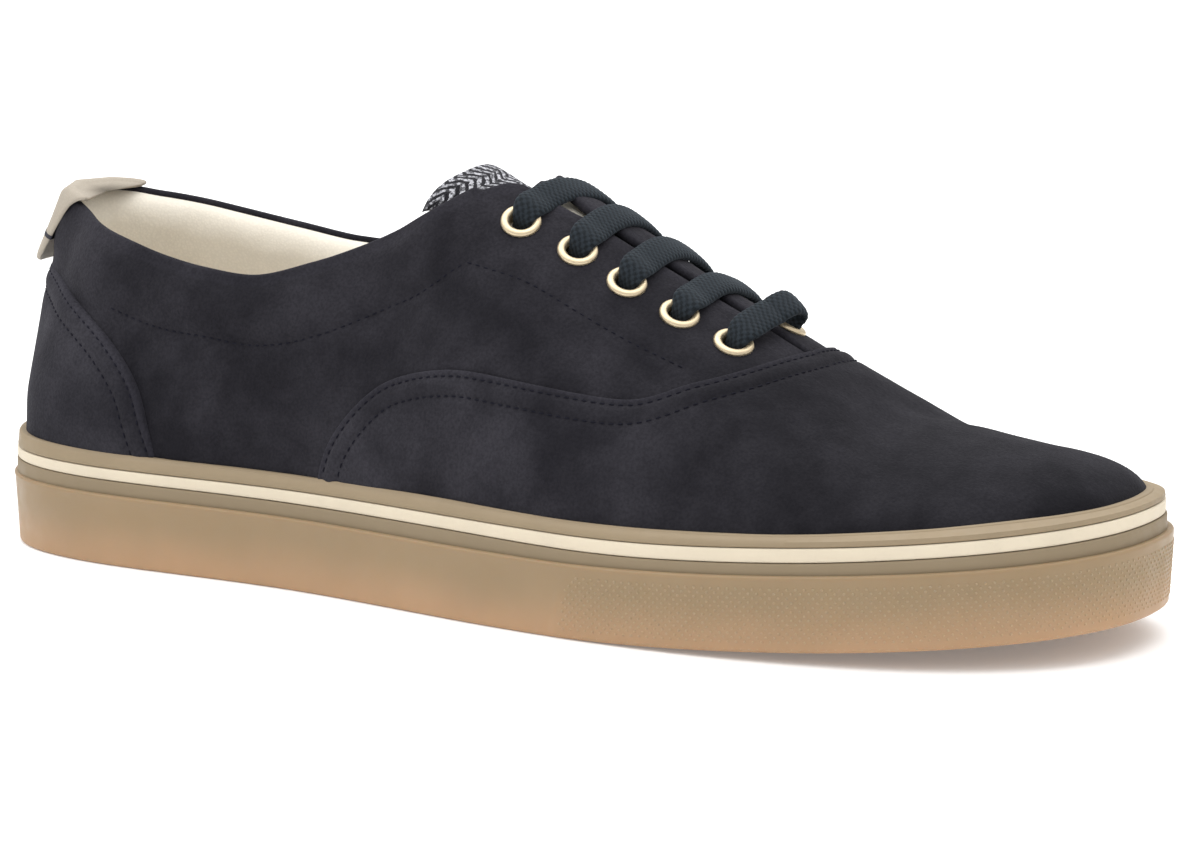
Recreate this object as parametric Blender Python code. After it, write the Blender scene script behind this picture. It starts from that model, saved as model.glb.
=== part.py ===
"""Low lace-up sneaker, right shoe, with its sole on the floor.

+X points to the toe, +Y to the medial side and +Z up. The sizes below are in
millimetres and are turned into metres where a mesh is made.
"""

from collections import namedtuple

import bpy
import numpy as np

MM = 0.001

# ---- Driving sizes, mm ---------------------------------------------------
HEEL_X = -150.0          # back of the outsole
TOE_X = 150.0            # front of the outsole
FEATHER_Z = 22.0         # height where the upper turns in under the foot
FEATHER_DROP = 12.0      # from there down to the upper's lower edge
FEATHER_TUCK = 2.5       # how far the lower edge turns in
WALL = 2.2               # upper's thickness, lining included
GAP = 0.3                # between two pieces that meet
TOE_SPRING = 7.8         # lift of the sole under the toe
SPRING_FROM_X = 28.0
SPRING_POWER = 1.5
THROAT_END_X = 66.0      # front of the throat
FLAP_REACH = 1.15        # furthest v of a flap that passes the ridge
CONE_GAP = 10.0          # half gap at which the wall ends as the heel's cone

OUTSOLE_FLOOR_Z = 9.7    # inside of the cup
GUM_TOP_Z = 17.5
GUM_ROUND = 0.5          # small round on the gum wall's top edge
FOXING_Z = (17.8, 21.0, 23.9, 27.7)   # bottom, groove's low and high edge, top
STRIPE_Z = (21.3, 23.6)
GROOVE_DEPTH = 1.1
STRIPE_PROUD = 0.1       # stripe in front of the band above it

ARCH_X = (-46.0, 14.0)   # hollow under the waist
ARCH_BORDER = 11.0
ARCH_DEPTH = 1.6
LUG_BORDER = 8.0         # plain rubber left at the outsole's edge
LUG_WIDTH = 2.6
LUG_DEPTH = 1.6
HEEL_LUGS_X = (-134.0, -125.0, -116.0, -90.0, -81.0, -72.0, -63.0)
BALL_LUGS_X = (38.0, 47.0, 56.0, 65.0, 74.0, 83.0, 92.0, 101.0, 110.0, 119.0, 128.0)

COUNTER_THICK = 1.4
COUNTER_CLEAR = 0.6      # behind it, as its facets don't match the upper's
COUNTER_Z = 28.2         # lower edge, just over the foxing
COUNTER_END_X = -94.0

TONGUE_DEPTH = 4.8       # tongue's outer face under the last's surface
TONGUE_THICK = 4.0
TONGUE_SEAT = 2.6        # the same at the tongue's front, where it meets the upper
TONGUE_BACK_X = -23.5
TONGUE_BACK_DROP = 6.0   # how far the top corners sit behind the middle
TONGUE_FRONT_X = 68.0
TONGUE_RISE = (0.88, 0.1)             # share of its length where it rises to its seat
TONGUE_HALF = (19.0, 13.5)            # half width at the top and at the front
TONGUE_SAG = 2.0         # further down along its middle, at the top
TONGUE_FALL = 4.0        # further down at its medial top corner
TONGUE_SAG_X = (-24.0, -4.0)          # where these two fade out

INSOLE_Z = (10.1, 14.0)
INSOLE_CLEAR = 0.6

TAB_HALF = 0.85           # half the heel tab's thickness
TAB_ACROSS = 7            # points across the strip
TAB_LEVEL = 0.35          # how much of the collar edge's fall it doesn't follow
TAB_ROUND = (5.0, 4.0, 3.0)           # lower end's rounding: length, start, depth

EYELET_BORE = 2.8
EYELET_BARREL = 3.25
EYELET_FLANGE = 4.75
EYELET_HOLE = 3.6        # hole through the upper
EYELET_SEGMENTS = 8
LACE_RUN_DEPTH = 3.75    # lace under the eyestay, below the last's surface
LACE_RUN_HALF = (1.9, 0.55)
LACE_RUN_END = 2.4       # past the first and the last eyelet
LACE_BAR_HALF = (3.4, 1.2)
LACE_PLUG_HALF = (2.1, 1.1)
LACE_MIDDLE_HEIGHT = 2.1 # bar's middle line above the last's surface, over the throat
LACE_LOOP_HEIGHT = 4.2   # the same for the slack front bar
LACE_INNER = 3           # points of that middle line

QUARTER_COLUMNS = 24
VAMP_COLUMNS = 10
TURN_WEIGHT = 22.0       # mm of length that one radian of turn counts for
WALL_ROWS = 8

# Stations round the outsole's top outline, from the heel over the lateral side
# to the toe and back. x and y: outline. crown_x: where the wall above this
# station reaches the ridge. half_gap: from the ridge to the wall's end.
# rise and shoulder: handle lengths at the wall's foot and top. lean: inward,
# degrees, at the foot. flare: outward share of the heel cone's top direction.
# tuck: from the outline in to the upper's foot.
Station = namedtuple("Station", "name x y crown_x half_gap rise lean shoulder flare tuck")
STATIONS = (
    Station("heel_back", -150.0, 0.0, -121.0, 0.0, 30.0, 7.0, 20.0, 0.55, 3.3),
    Station("heel_lat", -147.3, -16.3, -118.5, 6.0, 30.0, 7.0, 20.0, 0.5, 3.3),
    Station("heel_side", -138.0, -29.0, -111.0, 10.5, 30.0, 6.0, 20.0, 0.45, 3.4),
    Station("rear_lat", -119.0, -37.5, -100.0, 14.5, 30.0, 4.0, 20.0, 0.35, 3.8),
    Station("seat_lat", -90.0, -40.0, -80.0, 16.0, 30.0, 3.0, 20.0, 0.3, 4.1),
    Station("waist_lat", -55.0, -40.7, -62.0, 14.5, 30.0, 2.0, 20.0, 0.3, 4.4),
    Station("waist2_lat", -25.0, -44.8, -45.0, 8.0, 30.0, 2.0, 24.0, 0.35, 4.4),
    Station("instep_lat", 3.0, -49.6, -27.0, 1.5, 28.0, 2.0, 28.0, 0.35, 4.4),
    Station("ball0_lat", 30.0, -52.6, 2.0, 0.0, 24.0, 4.0, 28.0, 0.35, 4.4),
    Station("ball_lat", 58.0, -53.0, 32.0, 0.0, 18.0, 5.0, 27.0, 0.35, 4.4),
    Station("ball2_lat", 84.0, -50.3, 60.0, 0.0, 14.0, 6.0, 26.0, 0.35, 4.4),
    Station("toe0_lat", 106.0, -45.0, 82.0, 0.0, 11.0, 6.0, 26.0, 0.35, 4.6),
    Station("toe1_lat", 126.0, -35.8, 98.0, 0.0, 9.5, 6.0, 26.0, 0.35, 4.8),
    Station("toe2_lat", 140.0, -23.8, 107.0, 0.0, 9.0, 8.0, 27.0, 0.35, 5.0),
    Station("toe3_lat", 148.3, -8.5, 111.5, 0.0, 9.0, 8.0, 28.0, 0.35, 5.0),
    Station("toe_tip", 150.0, 6.0, 112.5, 0.0, 9.0, 8.0, 28.0, 0.35, 5.0),
    Station("toe3_med", 147.4, 20.5, 111.0, 0.0, 9.0, 8.0, 28.0, 0.35, 5.0),
    Station("toe2_med", 137.5, 34.5, 105.0, 0.0, 9.0, 8.0, 25.0, 0.35, 5.0),
    Station("toe1_med", 118.0, 46.0, 93.0, 0.0, 11.0, 8.0, 19.0, 0.35, 4.8),
    Station("ball2_med", 91.0, 51.0, 70.0, 0.0, 13.0, 9.0, 17.0, 0.35, 4.4),
    Station("ball_med", 60.0, 49.3, 40.0, 0.0, 17.0, 7.0, 20.0, 0.35, 4.4),
    Station("ball0_med", 28.0, 43.5, 8.0, 0.0, 24.0, 4.0, 25.0, 0.35, 4.4),
    Station("waist2_med", -10.0, 38.0, -30.0, 2.0, 30.0, 2.0, 26.0, 0.35, 4.4),
    Station("waist_med", -50.0, 37.2, -58.0, 12.0, 30.0, 2.0, 20.0, 0.3, 4.4),
    Station("seat_med", -90.0, 38.8, -80.0, 14.5, 30.0, 3.0, 20.0, 0.3, 4.1),
    Station("rear_med", -118.0, 37.5, -100.0, 14.0, 30.0, 4.0, 20.0, 0.35, 3.8),
    Station("heel_side_med", -138.0, 29.0, -111.0, 10.5, 30.0, 6.0, 20.0, 0.45, 3.4),
    Station("heel_med", -147.3, 16.3, -118.5, 6.0, 30.0, 7.0, 20.0, 0.5, 3.3),
)

# Ridge over the forefoot and instep, and the middle of the foot's opening.
# roll: how much the ridge tilts up towards the medial side.
Crown = namedtuple("Crown", "x y z roll")
RIDGE = (
    Crown(-124.0, 0.0, 118.0, 0.0),
    Crown(-60.0, 0.0, 118.0, 0.0),
    Crown(-40.0, 0.0, 112.0, 0.02),
    Crown(-25.0, 0.0, 106.0, 0.06),
    Crown(-9.0, 0.0, 99.0, 0.08),
    Crown(13.5, 0.5, 87.6, 0.085),
    Crown(39.5, 1.0, 73.2, 0.085),
    Crown(53.0, 1.5, 66.4, 0.08),
    Crown(73.0, 2.5, 55.5, 0.05),
    Crown(88.0, 3.3, 47.0, 0.02),
    Crown(103.0, 4.2, 44.2, 0.0),
    Crown(114.0, 4.8, 43.2, 0.0),
)

# Height of the collar's edge on the lateral and the medial side, by x.
Collar = namedtuple("Collar", "x z")
COLLAR_LATERAL = (
    Collar(-145.0, 85.7),
    Collar(-138.6, 85.6),
    Collar(-134.6, 84.4),
    Collar(-130.0, 83.0),
    Collar(-122.0, 80.6),
    Collar(-109.0, 77.9),
    Collar(-94.0, 74.7),
    Collar(-84.0, 73.2),
    Collar(-71.0, 72.2),
    Collar(-52.5, 76.6),
    Collar(-33.0, 84.8),
    Collar(-26.4, 88.6),
    Collar(-20.1, 92.4),
    Collar(-16.3, 94.9),
    Collar(-12.8, 96.8),
    Collar(-9.5, 98.0),
    Collar(-4.0, 99.0),
)
COLLAR_MEDIAL = (
    Collar(-145.0, 85.7),
    Collar(-138.6, 85.7),
    Collar(-130.0, 85.2),
    Collar(-124.0, 84.0),
    Collar(-107.0, 80.3),
    Collar(-88.0, 77.2),
    Collar(-71.0, 75.0),
    Collar(-52.5, 74.6),
    Collar(-33.0, 82.0),
    Collar(-16.0, 93.0),
    Collar(-9.0, 96.8),
    Collar(-4.0, 98.2),
)

# The throat's two edges by x, each one's distance outward from the ridge.
Throat = namedtuple("Throat", "x lateral medial")
THROAT = (
    Throat(-14.0, 15.6, 16.0),
    Throat(-11.5, 12.9, 15.0),
    Throat(-9.5, 10.2, 13.4),
    Throat(-7.4, 8.3, 11.0),
    Throat(-5.5, 7.3, 7.3),
    Throat(-3.5, 7.0, 3.8),
    Throat(-1.0, 6.9, 1.2),
    Throat(2.0, 6.7, -0.6),
    Throat(6.0, 6.2, -1.8),
    Throat(12.0, 5.1, -2.5),
    Throat(20.0, 4.4, -2.2),
    Throat(26.0, 3.6, -1.3),
    Throat(32.0, 2.6, -0.1),
    Throat(38.0, 1.9, 0.6),
    Throat(44.0, 1.4, 1.0),
    Throat(52.0, 0.9, 1.0),
    Throat(60.0, 0.6, 0.6),
    Throat(66.0, 0.0, 0.0),
)

# Heel counter's upper edge, by x.
CounterEdge = namedtuple("CounterEdge", "x z")
COUNTER = (
    CounterEdge(-150.0, 68.2),
    CounterEdge(-145.5, 68.2),
    CounterEdge(-139.5, 67.4),
    CounterEdge(-131.0, 64.9),
    CounterEdge(-122.7, 61.5),
    CounterEdge(-111.3, 55.4),
    CounterEdge(-104.1, 49.5),
    CounterEdge(-98.0, 41.7),
    CounterEdge(-95.0, 34.0),
)

# How far the foxing's faces stand in from the outsole's outline, and how thick
# its top edge is, by x.
Band = namedtuple("Band", "x lower upper top_edge")
BANDS = (
    Band(-150.0, 0.8, 1.0, 2.5),
    Band(-138.0, 0.9, 1.2, 2.1),
    Band(-118.0, 1.3, 1.7, 1.3),
    Band(-90.0, 1.4, 1.9, 1.1),
    Band(110.0, 1.4, 1.9, 1.2),
    Band(150.0, 1.6, 2.1, 1.5),
)

# Heel tab's middle line across the collar's edge. out: from the upper's outer
# face, up: from the collar's edge. half: half the strip's width.
TabPoint = namedtuple("TabPoint", "out up half")
TAB = (
    TabPoint(-4.3, -1.4, 12.4),
    TabPoint(-4.2, 0.4, 12.6),
    TabPoint(-2.9, 1.8, 12.8),
    TabPoint(-1.1, 2.0, 12.8),
    TabPoint(0.7, 1.6, 12.6),
    TabPoint(2.0, 0.0, 11.9),
    TabPoint(2.8, -2.4, 10.9),
    TabPoint(4.1, -6.0, 9.9),
    TabPoint(6.0, -10.8, 9.2),
    TabPoint(8.0, -15.6, 8.4),
    TabPoint(9.2, -18.6, 7.5),
)

# Eyelets' middles seen from above.
Eyelet = namedtuple("Eyelet", "name x y")
EYELETS = (
    Eyelet("lateral_1", -1.1, -16.9),
    Eyelet("lateral_2", 13.2, -15.5),
    Eyelet("lateral_3", 26.1, -15.3),
    Eyelet("lateral_4", 39.3, -14.2),
    Eyelet("lateral_5", 52.6, -12.8),
    Eyelet("medial_1", 3.2, 21.8),
    Eyelet("medial_2", 13.4, 22.4),
    Eyelet("medial_3", 25.4, 22.4),
    Eyelet("medial_4", 39.0, 21.2),
    Eyelet("medial_5", 54.6, 9.6),
)

# A lace bar's middle line from its eyelet's axis towards the throat. height:
# above the last's surface. grown: 0 where it is as slim as in the eyelet. The
# front bar ends in a slack loop, LOOP_PATH, on the medial side.
LacePoint = namedtuple("LacePoint", "inward height grown")
LACE_PATH = (
    LacePoint(0.0, -LACE_RUN_DEPTH, 0.0),
    LacePoint(0.1, 0.4, 0.0),
    LacePoint(0.5, 1.8, 0.15),
    LacePoint(1.6, 2.9, 0.5),
    LacePoint(3.3, 3.2, 0.85),
    LacePoint(5.5, 3.0, 1.0),
    LacePoint(8.0, 2.6, 1.0),
)
LOOP_PATH = (
    LacePoint(0.0, -LACE_RUN_DEPTH, 0.0),
    LacePoint(0.0, 0.6, 0.0),
    LacePoint(-0.5, 2.2, 0.15),
    LacePoint(-0.5, 4.0, 0.5),
    LacePoint(1.0, 6.0, 0.85),
    LacePoint(3.6, 6.7, 1.0),
    LacePoint(7.0, 5.8, 1.0),
)

# Material slots: colour, roughness, metallic.
Finish = namedtuple("Finish", "slot color roughness metallic")
GUM = Finish("gum_rubber", (0.42, 0.27, 0.15), 0.55, 0.0)
TAUPE = Finish("taupe_rubber", (0.30, 0.23, 0.15), 0.6, 0.0)
CREAM = Finish("cream_rubber", (0.74, 0.64, 0.48), 0.55, 0.0)
NUBUCK = Finish("navy_nubuck", (0.035, 0.037, 0.055), 0.85, 0.0)
TAB_LEATHER = Finish("heel_tab_leather", (0.50, 0.44, 0.36), 0.6, 0.0)
TWEED = Finish("tongue_tweed", (0.12, 0.12, 0.13), 0.9, 0.0)
FOOTBED = Finish("footbed_leather", (0.66, 0.60, 0.50), 0.7, 0.0)
BRASS = Finish("eyelet_metal", (0.80, 0.62, 0.33), 0.35, 1.0)
LACE_CORD = Finish("lace_cotton", (0.022, 0.032, 0.045), 0.85, 0.0)


# ---- Curves --------------------------------------------------------------
def table(rows, *names):
    """The named columns of a table's rows, side by side."""
    return np.array([[getattr(row, name) for name in names] for row in rows], float)


def closed_slopes(at, values):
    """Slopes of the smooth closed curve through the values at these places.

    The last value is the first one again. Each slope makes the second
    derivative the same on both sides of its value.
    """
    step = np.diff(at)
    chord = np.diff(values, axis=0) / step[:, None]
    count = len(step)
    here = np.arange(count)
    back = 1 / np.roll(step, 1)
    ahead = 1 / step
    matrix = np.zeros((count, count))
    matrix[here, here] = 2 * (back + ahead)
    matrix[here, (here - 1) % count] += back
    matrix[here, (here + 1) % count] += ahead
    right = 3 * (np.roll(chord, 1, axis=0) * back[:, None] + chord * ahead[:, None])
    slopes = np.linalg.solve(matrix, right)
    return np.vstack([slopes, slopes[:1]])


def even_slopes(at, values):
    """Slopes that never carry a curve past its own values."""
    step = np.diff(at)[:, None]
    chord = np.diff(values, axis=0) / step
    slopes = np.zeros_like(values)
    same = chord[1:] * chord[:-1] > 0
    near = 2 * step[1:] + step[:-1]
    far = step[1:] + 2 * step[:-1]
    before = np.where(same, chord[:-1], 1)
    after = np.where(same, chord[1:], 1)
    slopes[1:-1] = np.where(same, (near + far) / (near / before + far / after), 0)
    slopes[0] = chord[0]
    slopes[-1] = chord[-1]
    return slopes


def along(at, values, slopes, where):
    """The cubic curve with these values and slopes, read at each place."""
    index = np.clip(np.searchsorted(at, where, side="right") - 1, 0, len(at) - 2)
    step = (at[index + 1] - at[index])[..., None]
    s = (where - at[index])[..., None] / step
    return (
        (1 + 2 * s) * (1 - s) ** 2 * values[index]
        + s * (1 - s) ** 2 * step * slopes[index]
        + s * s * (3 - 2 * s) * values[index + 1]
        + s * s * (s - 1) * step * slopes[index + 1]
    )


def column(rows, name, where):
    """One column of a table with an x column, read smoothly at each x."""
    at = table(rows, "x")[:, 0]
    values = table(rows, name)
    inside = np.clip(where, at[0], at[-1])
    return along(at, values, even_slopes(at, values), inside)[..., 0]


def unit(vectors):
    """The vectors at length 1."""
    return vectors / np.linalg.norm(vectors, axis=-1, keepdims=True)


def spring(x):
    """Lift of the sole's underside at x, growing with a power of the distance."""
    share = np.clip((x - SPRING_FROM_X) / (TOE_X - SPRING_FROM_X), 0, None)
    return TOE_SPRING * share**SPRING_POWER


# ---- Last ----------------------------------------------------------------
STATION_VALUES = table(STATIONS + STATIONS[:1], *Station._fields[1:])
STATION_AT = np.concatenate(
    [[0.0], np.cumsum(np.hypot(*np.diff(STATION_VALUES[:, :2], axis=0).T))]
)
STATION_SLOPES = closed_slopes(STATION_AT, STATION_VALUES)
GAP_SLOPES = even_slopes(STATION_AT, STATION_VALUES[:, 3:4])
RIDGE_AT = table(RIDGE, "x")[:, 0]
RIDGE_VALUES = table(RIDGE, "y", "z", "roll")
RIDGE_SLOPES = even_slopes(RIDGE_AT, RIDGE_VALUES)


def station(u):
    """The station table's columns at u, the share of the way round the foot."""
    where = np.mod(u, 1.0) * STATION_AT[-1]
    values = along(STATION_AT, STATION_VALUES, STATION_SLOPES, where)
    values[..., 3] = along(STATION_AT, STATION_VALUES[:, 3:4], GAP_SLOPES, where)[..., 0]
    return values


def outline(u, inset):
    """Plan points of the outsole's outline moved in by inset, and its normals."""
    step = 1e-4
    ahead = unit(station(u + step)[..., :2] - station(u - step)[..., :2])
    normal = np.stack([ahead[..., 1], -ahead[..., 0]], -1)
    return station(u)[..., :2] - np.asarray(inset)[..., None] * normal, normal


def ridge(x):
    """The ridge's y, z, roll and rise per mm forward at x."""
    step = 0.01
    values = along(RIDGE_AT, RIDGE_VALUES, RIDGE_SLOPES, x)
    ahead = along(RIDGE_AT, RIDGE_VALUES, RIDGE_SLOPES, x + step)
    behind = along(RIDGE_AT, RIDGE_VALUES, RIDGE_SLOPES, x - step)
    rise = (ahead[..., 1] - behind[..., 1]) / (2 * step)
    return values[..., 0], values[..., 1], values[..., 2], rise


def wall_controls(u):
    """The four control points of the wall's cubic above each station."""
    values = station(u)
    crown_x, half_gap, rise, lean = (values[..., i] for i in (2, 3, 4, 5))
    shoulder, flare, tuck = (values[..., i] for i in (6, 7, 8))
    plan, normal = outline(u, tuck)
    foot = np.concatenate([plan, (FEATHER_Z + spring(plan[..., 0]))[..., None]], -1)
    y, z, roll, slope = ridge(crown_x)
    crown = np.stack([crown_x, y, z], -1)
    across = unit(plan - crown[..., :2])
    crown[..., 1] += half_gap * across[..., 1]
    lean = np.radians(lean)[..., None]
    up = np.zeros_like(foot)
    up[..., 2] = 1
    outward = np.concatenate([normal, np.zeros_like(normal[..., :1])], -1)
    start = foot + rise[..., None] * (np.cos(lean) * up - np.sin(lean) * outward)
    fall = slope * across[..., 0] + roll * across[..., 1]
    on_ridge = unit(np.concatenate([across, fall[..., None]], -1))
    on_cone = np.concatenate([across * flare[..., None], -np.ones_like(across[..., :1])], -1)
    blend = np.clip(half_gap / CONE_GAP, 0, 1)[..., None]
    blend = blend * blend * (3 - 2 * blend)
    end = crown + shoulder[..., None] * unit((1 - blend) * on_ridge + blend * on_cone)
    return foot, start, end, crown


def last_point(u, v):
    """Point of the upper's outer face.

    v is 0 at the feather line and 1 at the ridge. Below 0 the wall drops
    straight and turns in with the square of the distance.
    """
    foot, start, end, crown = wall_controls(u)
    v = np.asarray(v, float)[..., None]
    low = np.minimum(v, 0)
    v = np.maximum(v, 0)
    w = 1 - v
    point = w**3 * foot + 3 * w * w * v * start + 3 * w * v * v * end + v**3 * crown
    point[..., 2:] += FEATHER_DROP * low
    point[..., :2] -= FEATHER_TUCK * low * low * outline(u, 0.0)[1]
    return point


def last_normal(u, v):
    """Outward normal of the upper's outer face."""
    step = 1e-4
    round_foot = last_point(u + step, v) - last_point(u - step, v)
    upward = last_point(u, v + step) - last_point(u, v - step)
    return unit(np.cross(round_foot, upward))


def shell_point(u, v, offset):
    """Point at this distance outside the upper's outer face."""
    return last_point(u, v) + np.asarray(offset)[..., None] * last_normal(u, v)


def bisect(low, high, above, rounds=40):
    """Halves each interval towards the place where above turns true."""
    for _ in range(rounds):
        middle = (low + high) / 2
        found = above(middle)
        high = np.where(found, middle, high)
        low = np.where(found, low, middle)
    return (low + high) / 2


def v_at_height(u, height):
    """v where the wall stands this high over the sole's underside."""
    low = np.full(u.shape, -1.0)
    high = np.full(u.shape, 0.6)

    def above(v):
        point = last_point(u, v)
        return point[..., 2] - spring(point[..., 0]) > height

    return bisect(low, high, above)


def v_of_edge(u):
    """v of the upper's free edge: the collar, the throat, or the ridge."""
    lateral = outline(u, 0.0)[1][..., 1] < 0

    def past(v):
        x, y, z = np.moveaxis(last_point(u, v), -1, 0)
        top = np.where(lateral, column(COLLAR_LATERAL, "z", x), column(COLLAR_MEDIAL, "z", x))
        over_collar = (z > top) & (x < COLLAR_LATERAL[-1].x)
        off = y - ridge(x)[0]
        outward = np.where(lateral, -off, off)
        half = np.where(lateral, column(THROAT, "lateral", x), column(THROAT, "medial", x))
        return over_collar | ((outward < half) & (x > THROAT[0].x))

    edge = bisect(np.full(u.shape, 0.1), np.full(u.shape, FLAP_REACH), past)
    return np.where(station(u)[..., 2] > THROAT_END_X - 1e-6, 1.0, edge)


def locate(x, y):
    """(u, v) of the last's points above these plan points, by Newton's method."""
    near_u, near_v = np.meshgrid(np.linspace(0.2, 0.82, 156), np.linspace(0.3, 1, 24))
    near = last_point(near_u.ravel(), near_v.ravel())[:, :2]
    goal = np.stack([x, y], -1)
    first = np.linalg.norm(goal[:, None] - near[None], axis=-1).argmin(axis=1)
    u = near_u.ravel()[first]
    v = near_v.ravel()[first]
    step = 1e-5
    for _ in range(14):
        here = last_point(u, v)[:, :2]
        du = (last_point(u + step, v)[:, :2] - here) / step
        dv = (last_point(u, v + step)[:, :2] - here) / step
        miss = goal - here
        area = du[:, 0] * dv[:, 1] - du[:, 1] * dv[:, 0]
        u = u + np.clip((miss[:, 0] * dv[:, 1] - miss[:, 1] * dv[:, 0]) / area, -0.02, 0.02)
        v = v + np.clip((du[:, 0] * miss[:, 1] - du[:, 1] * miss[:, 0]) / area, -0.1, 0.1)
    return u, v


# ---- Columns round the foot ----------------------------------------------
def crown_at(u):
    """The station table's crown_x at u."""
    return station(u)[..., 2]


def gathered(low, high, count):
    """Places from one u to another, closer where the free edge or the outline turns."""
    fine = np.linspace(low, high, 800)
    at = np.zeros(len(fine))
    foot = np.pad(outline(fine, 0.0)[0], ((0, 0), (0, 1)))
    for line in (last_point(fine, v_of_edge(fine)), foot):
        step = np.diff(line, axis=0)
        ahead = unit(step)
        turn = np.arccos(np.clip((ahead[1:] * ahead[:-1]).sum(1), -1, 1))
        at[1:] += np.cumsum(np.linalg.norm(step, axis=1))
        at[2:] += TURN_WEIGHT * np.cumsum(turn)
    return np.interp(np.linspace(0, at[-1], count + 1), at, fine)


def foot_columns():
    """The u of each column of the shoe, and how many lie on the lateral side.

    The vamp's columns come in pairs that meet on the ridge.
    """
    fine = np.linspace(0.4, 0.6, 20001)
    tip = fine[crown_at(fine).argmax()]
    one = np.ones(1)
    lateral_end = bisect(0.2 * one, tip * one, lambda u: crown_at(u) > THROAT_END_X)[0]
    lateral_vamp = np.linspace(lateral_end, tip, VAMP_COLUMNS + 1)
    crowns = crown_at(lateral_vamp[:-1])
    medial_vamp = bisect(
        np.full(VAMP_COLUMNS, tip),
        np.full(VAMP_COLUMNS, 0.8),
        lambda u: crown_at(u) < crowns,
    )
    lateral_quarter = gathered(0, lateral_end, QUARTER_COLUMNS)[:-1]
    medial_quarter = gathered(medial_vamp[0], 1, QUARTER_COLUMNS)[1:-1]
    u = np.concatenate([lateral_quarter, lateral_vamp, medial_vamp[::-1], medial_quarter])
    return u, QUARTER_COLUMNS + VAMP_COLUMNS


COLUMNS, TIP = foot_columns()


# ---- Meshes --------------------------------------------------------------
def material(finish):
    """The finish's Principled material, made once."""
    found = bpy.data.materials.get(finish.slot)
    if found:
        return found
    made = bpy.data.materials.new(finish.slot)
    made.use_nodes = True
    shader = made.node_tree.nodes["Principled BSDF"]
    shader.inputs["Base Color"].default_value = (*finish.color, 1)
    shader.inputs["Roughness"].default_value = finish.roughness
    shader.inputs["Metallic"].default_value = finish.metallic
    made.diffuse_color = (*finish.color, 1)
    return made


def add_object(name, points, faces, finish):
    """An object from points in millimetres and faces of point numbers."""
    mesh = bpy.data.meshes.new(name)
    mesh.from_pydata((np.asarray(points) * MM).tolist(), [], [list(map(int, f)) for f in faces])
    mesh.update()
    made = bpy.data.objects.new(name, mesh)
    bpy.context.scene.collection.objects.link(made)
    if finish:
        mesh.materials.append(material(finish))
        mesh.polygons.foreach_set("use_smooth", np.ones(len(mesh.polygons), bool))
    else:
        made.hide_render = True
        made.display_type = "WIRE"
    return made


def boolean(target, cutter, operation):
    """Adds the cutter to the target as an exact Boolean."""
    made = target.modifiers.new(cutter.name, "BOOLEAN")
    made.operation = operation
    made.solver = "EXACT"
    made.object = cutter


def grid_faces(numbers, close_rows=False, close_columns=False):
    """Quads between neighbouring entries of a table of point numbers."""
    rows = np.concatenate([numbers, numbers[:1]]) if close_rows else numbers
    both = np.concatenate([rows, rows[:, :1]], axis=1) if close_columns else rows
    corners = (both[:-1, :-1], both[1:, :-1], both[1:, 1:], both[:-1, 1:])
    return np.stack(corners, -1).reshape(-1, 4).tolist()


def flipped(faces):
    """The faces turned round."""
    return [face[::-1] for face in faces]


def ring_solid(name, rings, finish):
    """A closed band: rings run round the foot, each one a corner of the section.

    The rings' order is upward on the outside and downward on the inside.
    """
    points = np.stack(rings, axis=1)
    numbers = np.arange(points.shape[0] * points.shape[1]).reshape(points.shape[:2])
    faces = grid_faces(numbers, close_rows=True, close_columns=True)
    return add_object(name, points.reshape(-1, 3), faces, finish)


def cap_faces(ring):
    """Faces across a ring of columns, from each lateral one to its medial match."""
    faces = [[ring[0], ring[1], ring[-1]]]
    for k in range(1, TIP - 1):
        faces.append([ring[k], ring[k + 1], ring[-k - 1], ring[-k]])
    faces.append([ring[TIP - 1], ring[TIP], ring[TIP + 1]])
    return faces


def slab_solid(name, rings, finish):
    """A closed slab: rings from the underside's edge up, with both ends capped."""
    points = np.stack(rings, axis=1)
    numbers = np.arange(points.shape[0] * points.shape[1]).reshape(points.shape[:2])
    faces = grid_faces(numbers, close_rows=True)
    faces += flipped(cap_faces(numbers[:, 0].tolist()))
    faces += cap_faces(numbers[:, -1].tolist())
    return add_object(name, points.reshape(-1, 3), faces, finish)


def patch_solid(name, outer, inner, finish):
    """A closed sheet between two grids of points of the same shape.

    The grids' first direction crossed with their second points outward.
    """
    rows, columns = outer.shape[:2]
    points = np.concatenate([outer.reshape(-1, 3), inner.reshape(-1, 3)])
    top = np.arange(rows * columns).reshape(rows, columns)
    below = top + rows * columns
    faces = grid_faces(top) + flipped(grid_faces(below))
    edge = np.concatenate([top[:, 0], top[-1, 1:], top[-2::-1, -1], top[0, -2:0:-1]])
    faces += grid_faces(np.stack([edge, edge + rows * columns]), close_columns=True)
    return add_object(name, points, faces, finish)


def level(u, inset, height):
    """Points at this inset and height over the sole's underside."""
    plan = outline(u, inset)[0]
    return np.concatenate([plan, (height + spring(plan[..., 0]))[..., None]], -1)


def beside_last(u, height, clear):
    """Points this far outside the upper's wall at this height."""
    plan = last_point(u, v_at_height(u, height))[..., :2]
    plan = plan + clear * outline(u, 0.0)[1]
    return np.concatenate([plan, (height + spring(plan[..., 0]))[..., None]], -1)


# ---- Sole ----------------------------------------------------------------
def box(center, size):
    """Points and faces of an upright box."""
    signs = np.array([[i, j, k] for i in (-1, 1) for j in (-1, 1) for k in (-1, 1)])
    points = np.asarray(center) + signs * np.asarray(size) / 2
    faces = ((0, 1, 3, 2), (4, 6, 7, 5), (0, 4, 5, 1), (2, 3, 7, 6), (0, 2, 6, 4), (1, 5, 7, 3))
    return points, faces


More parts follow.
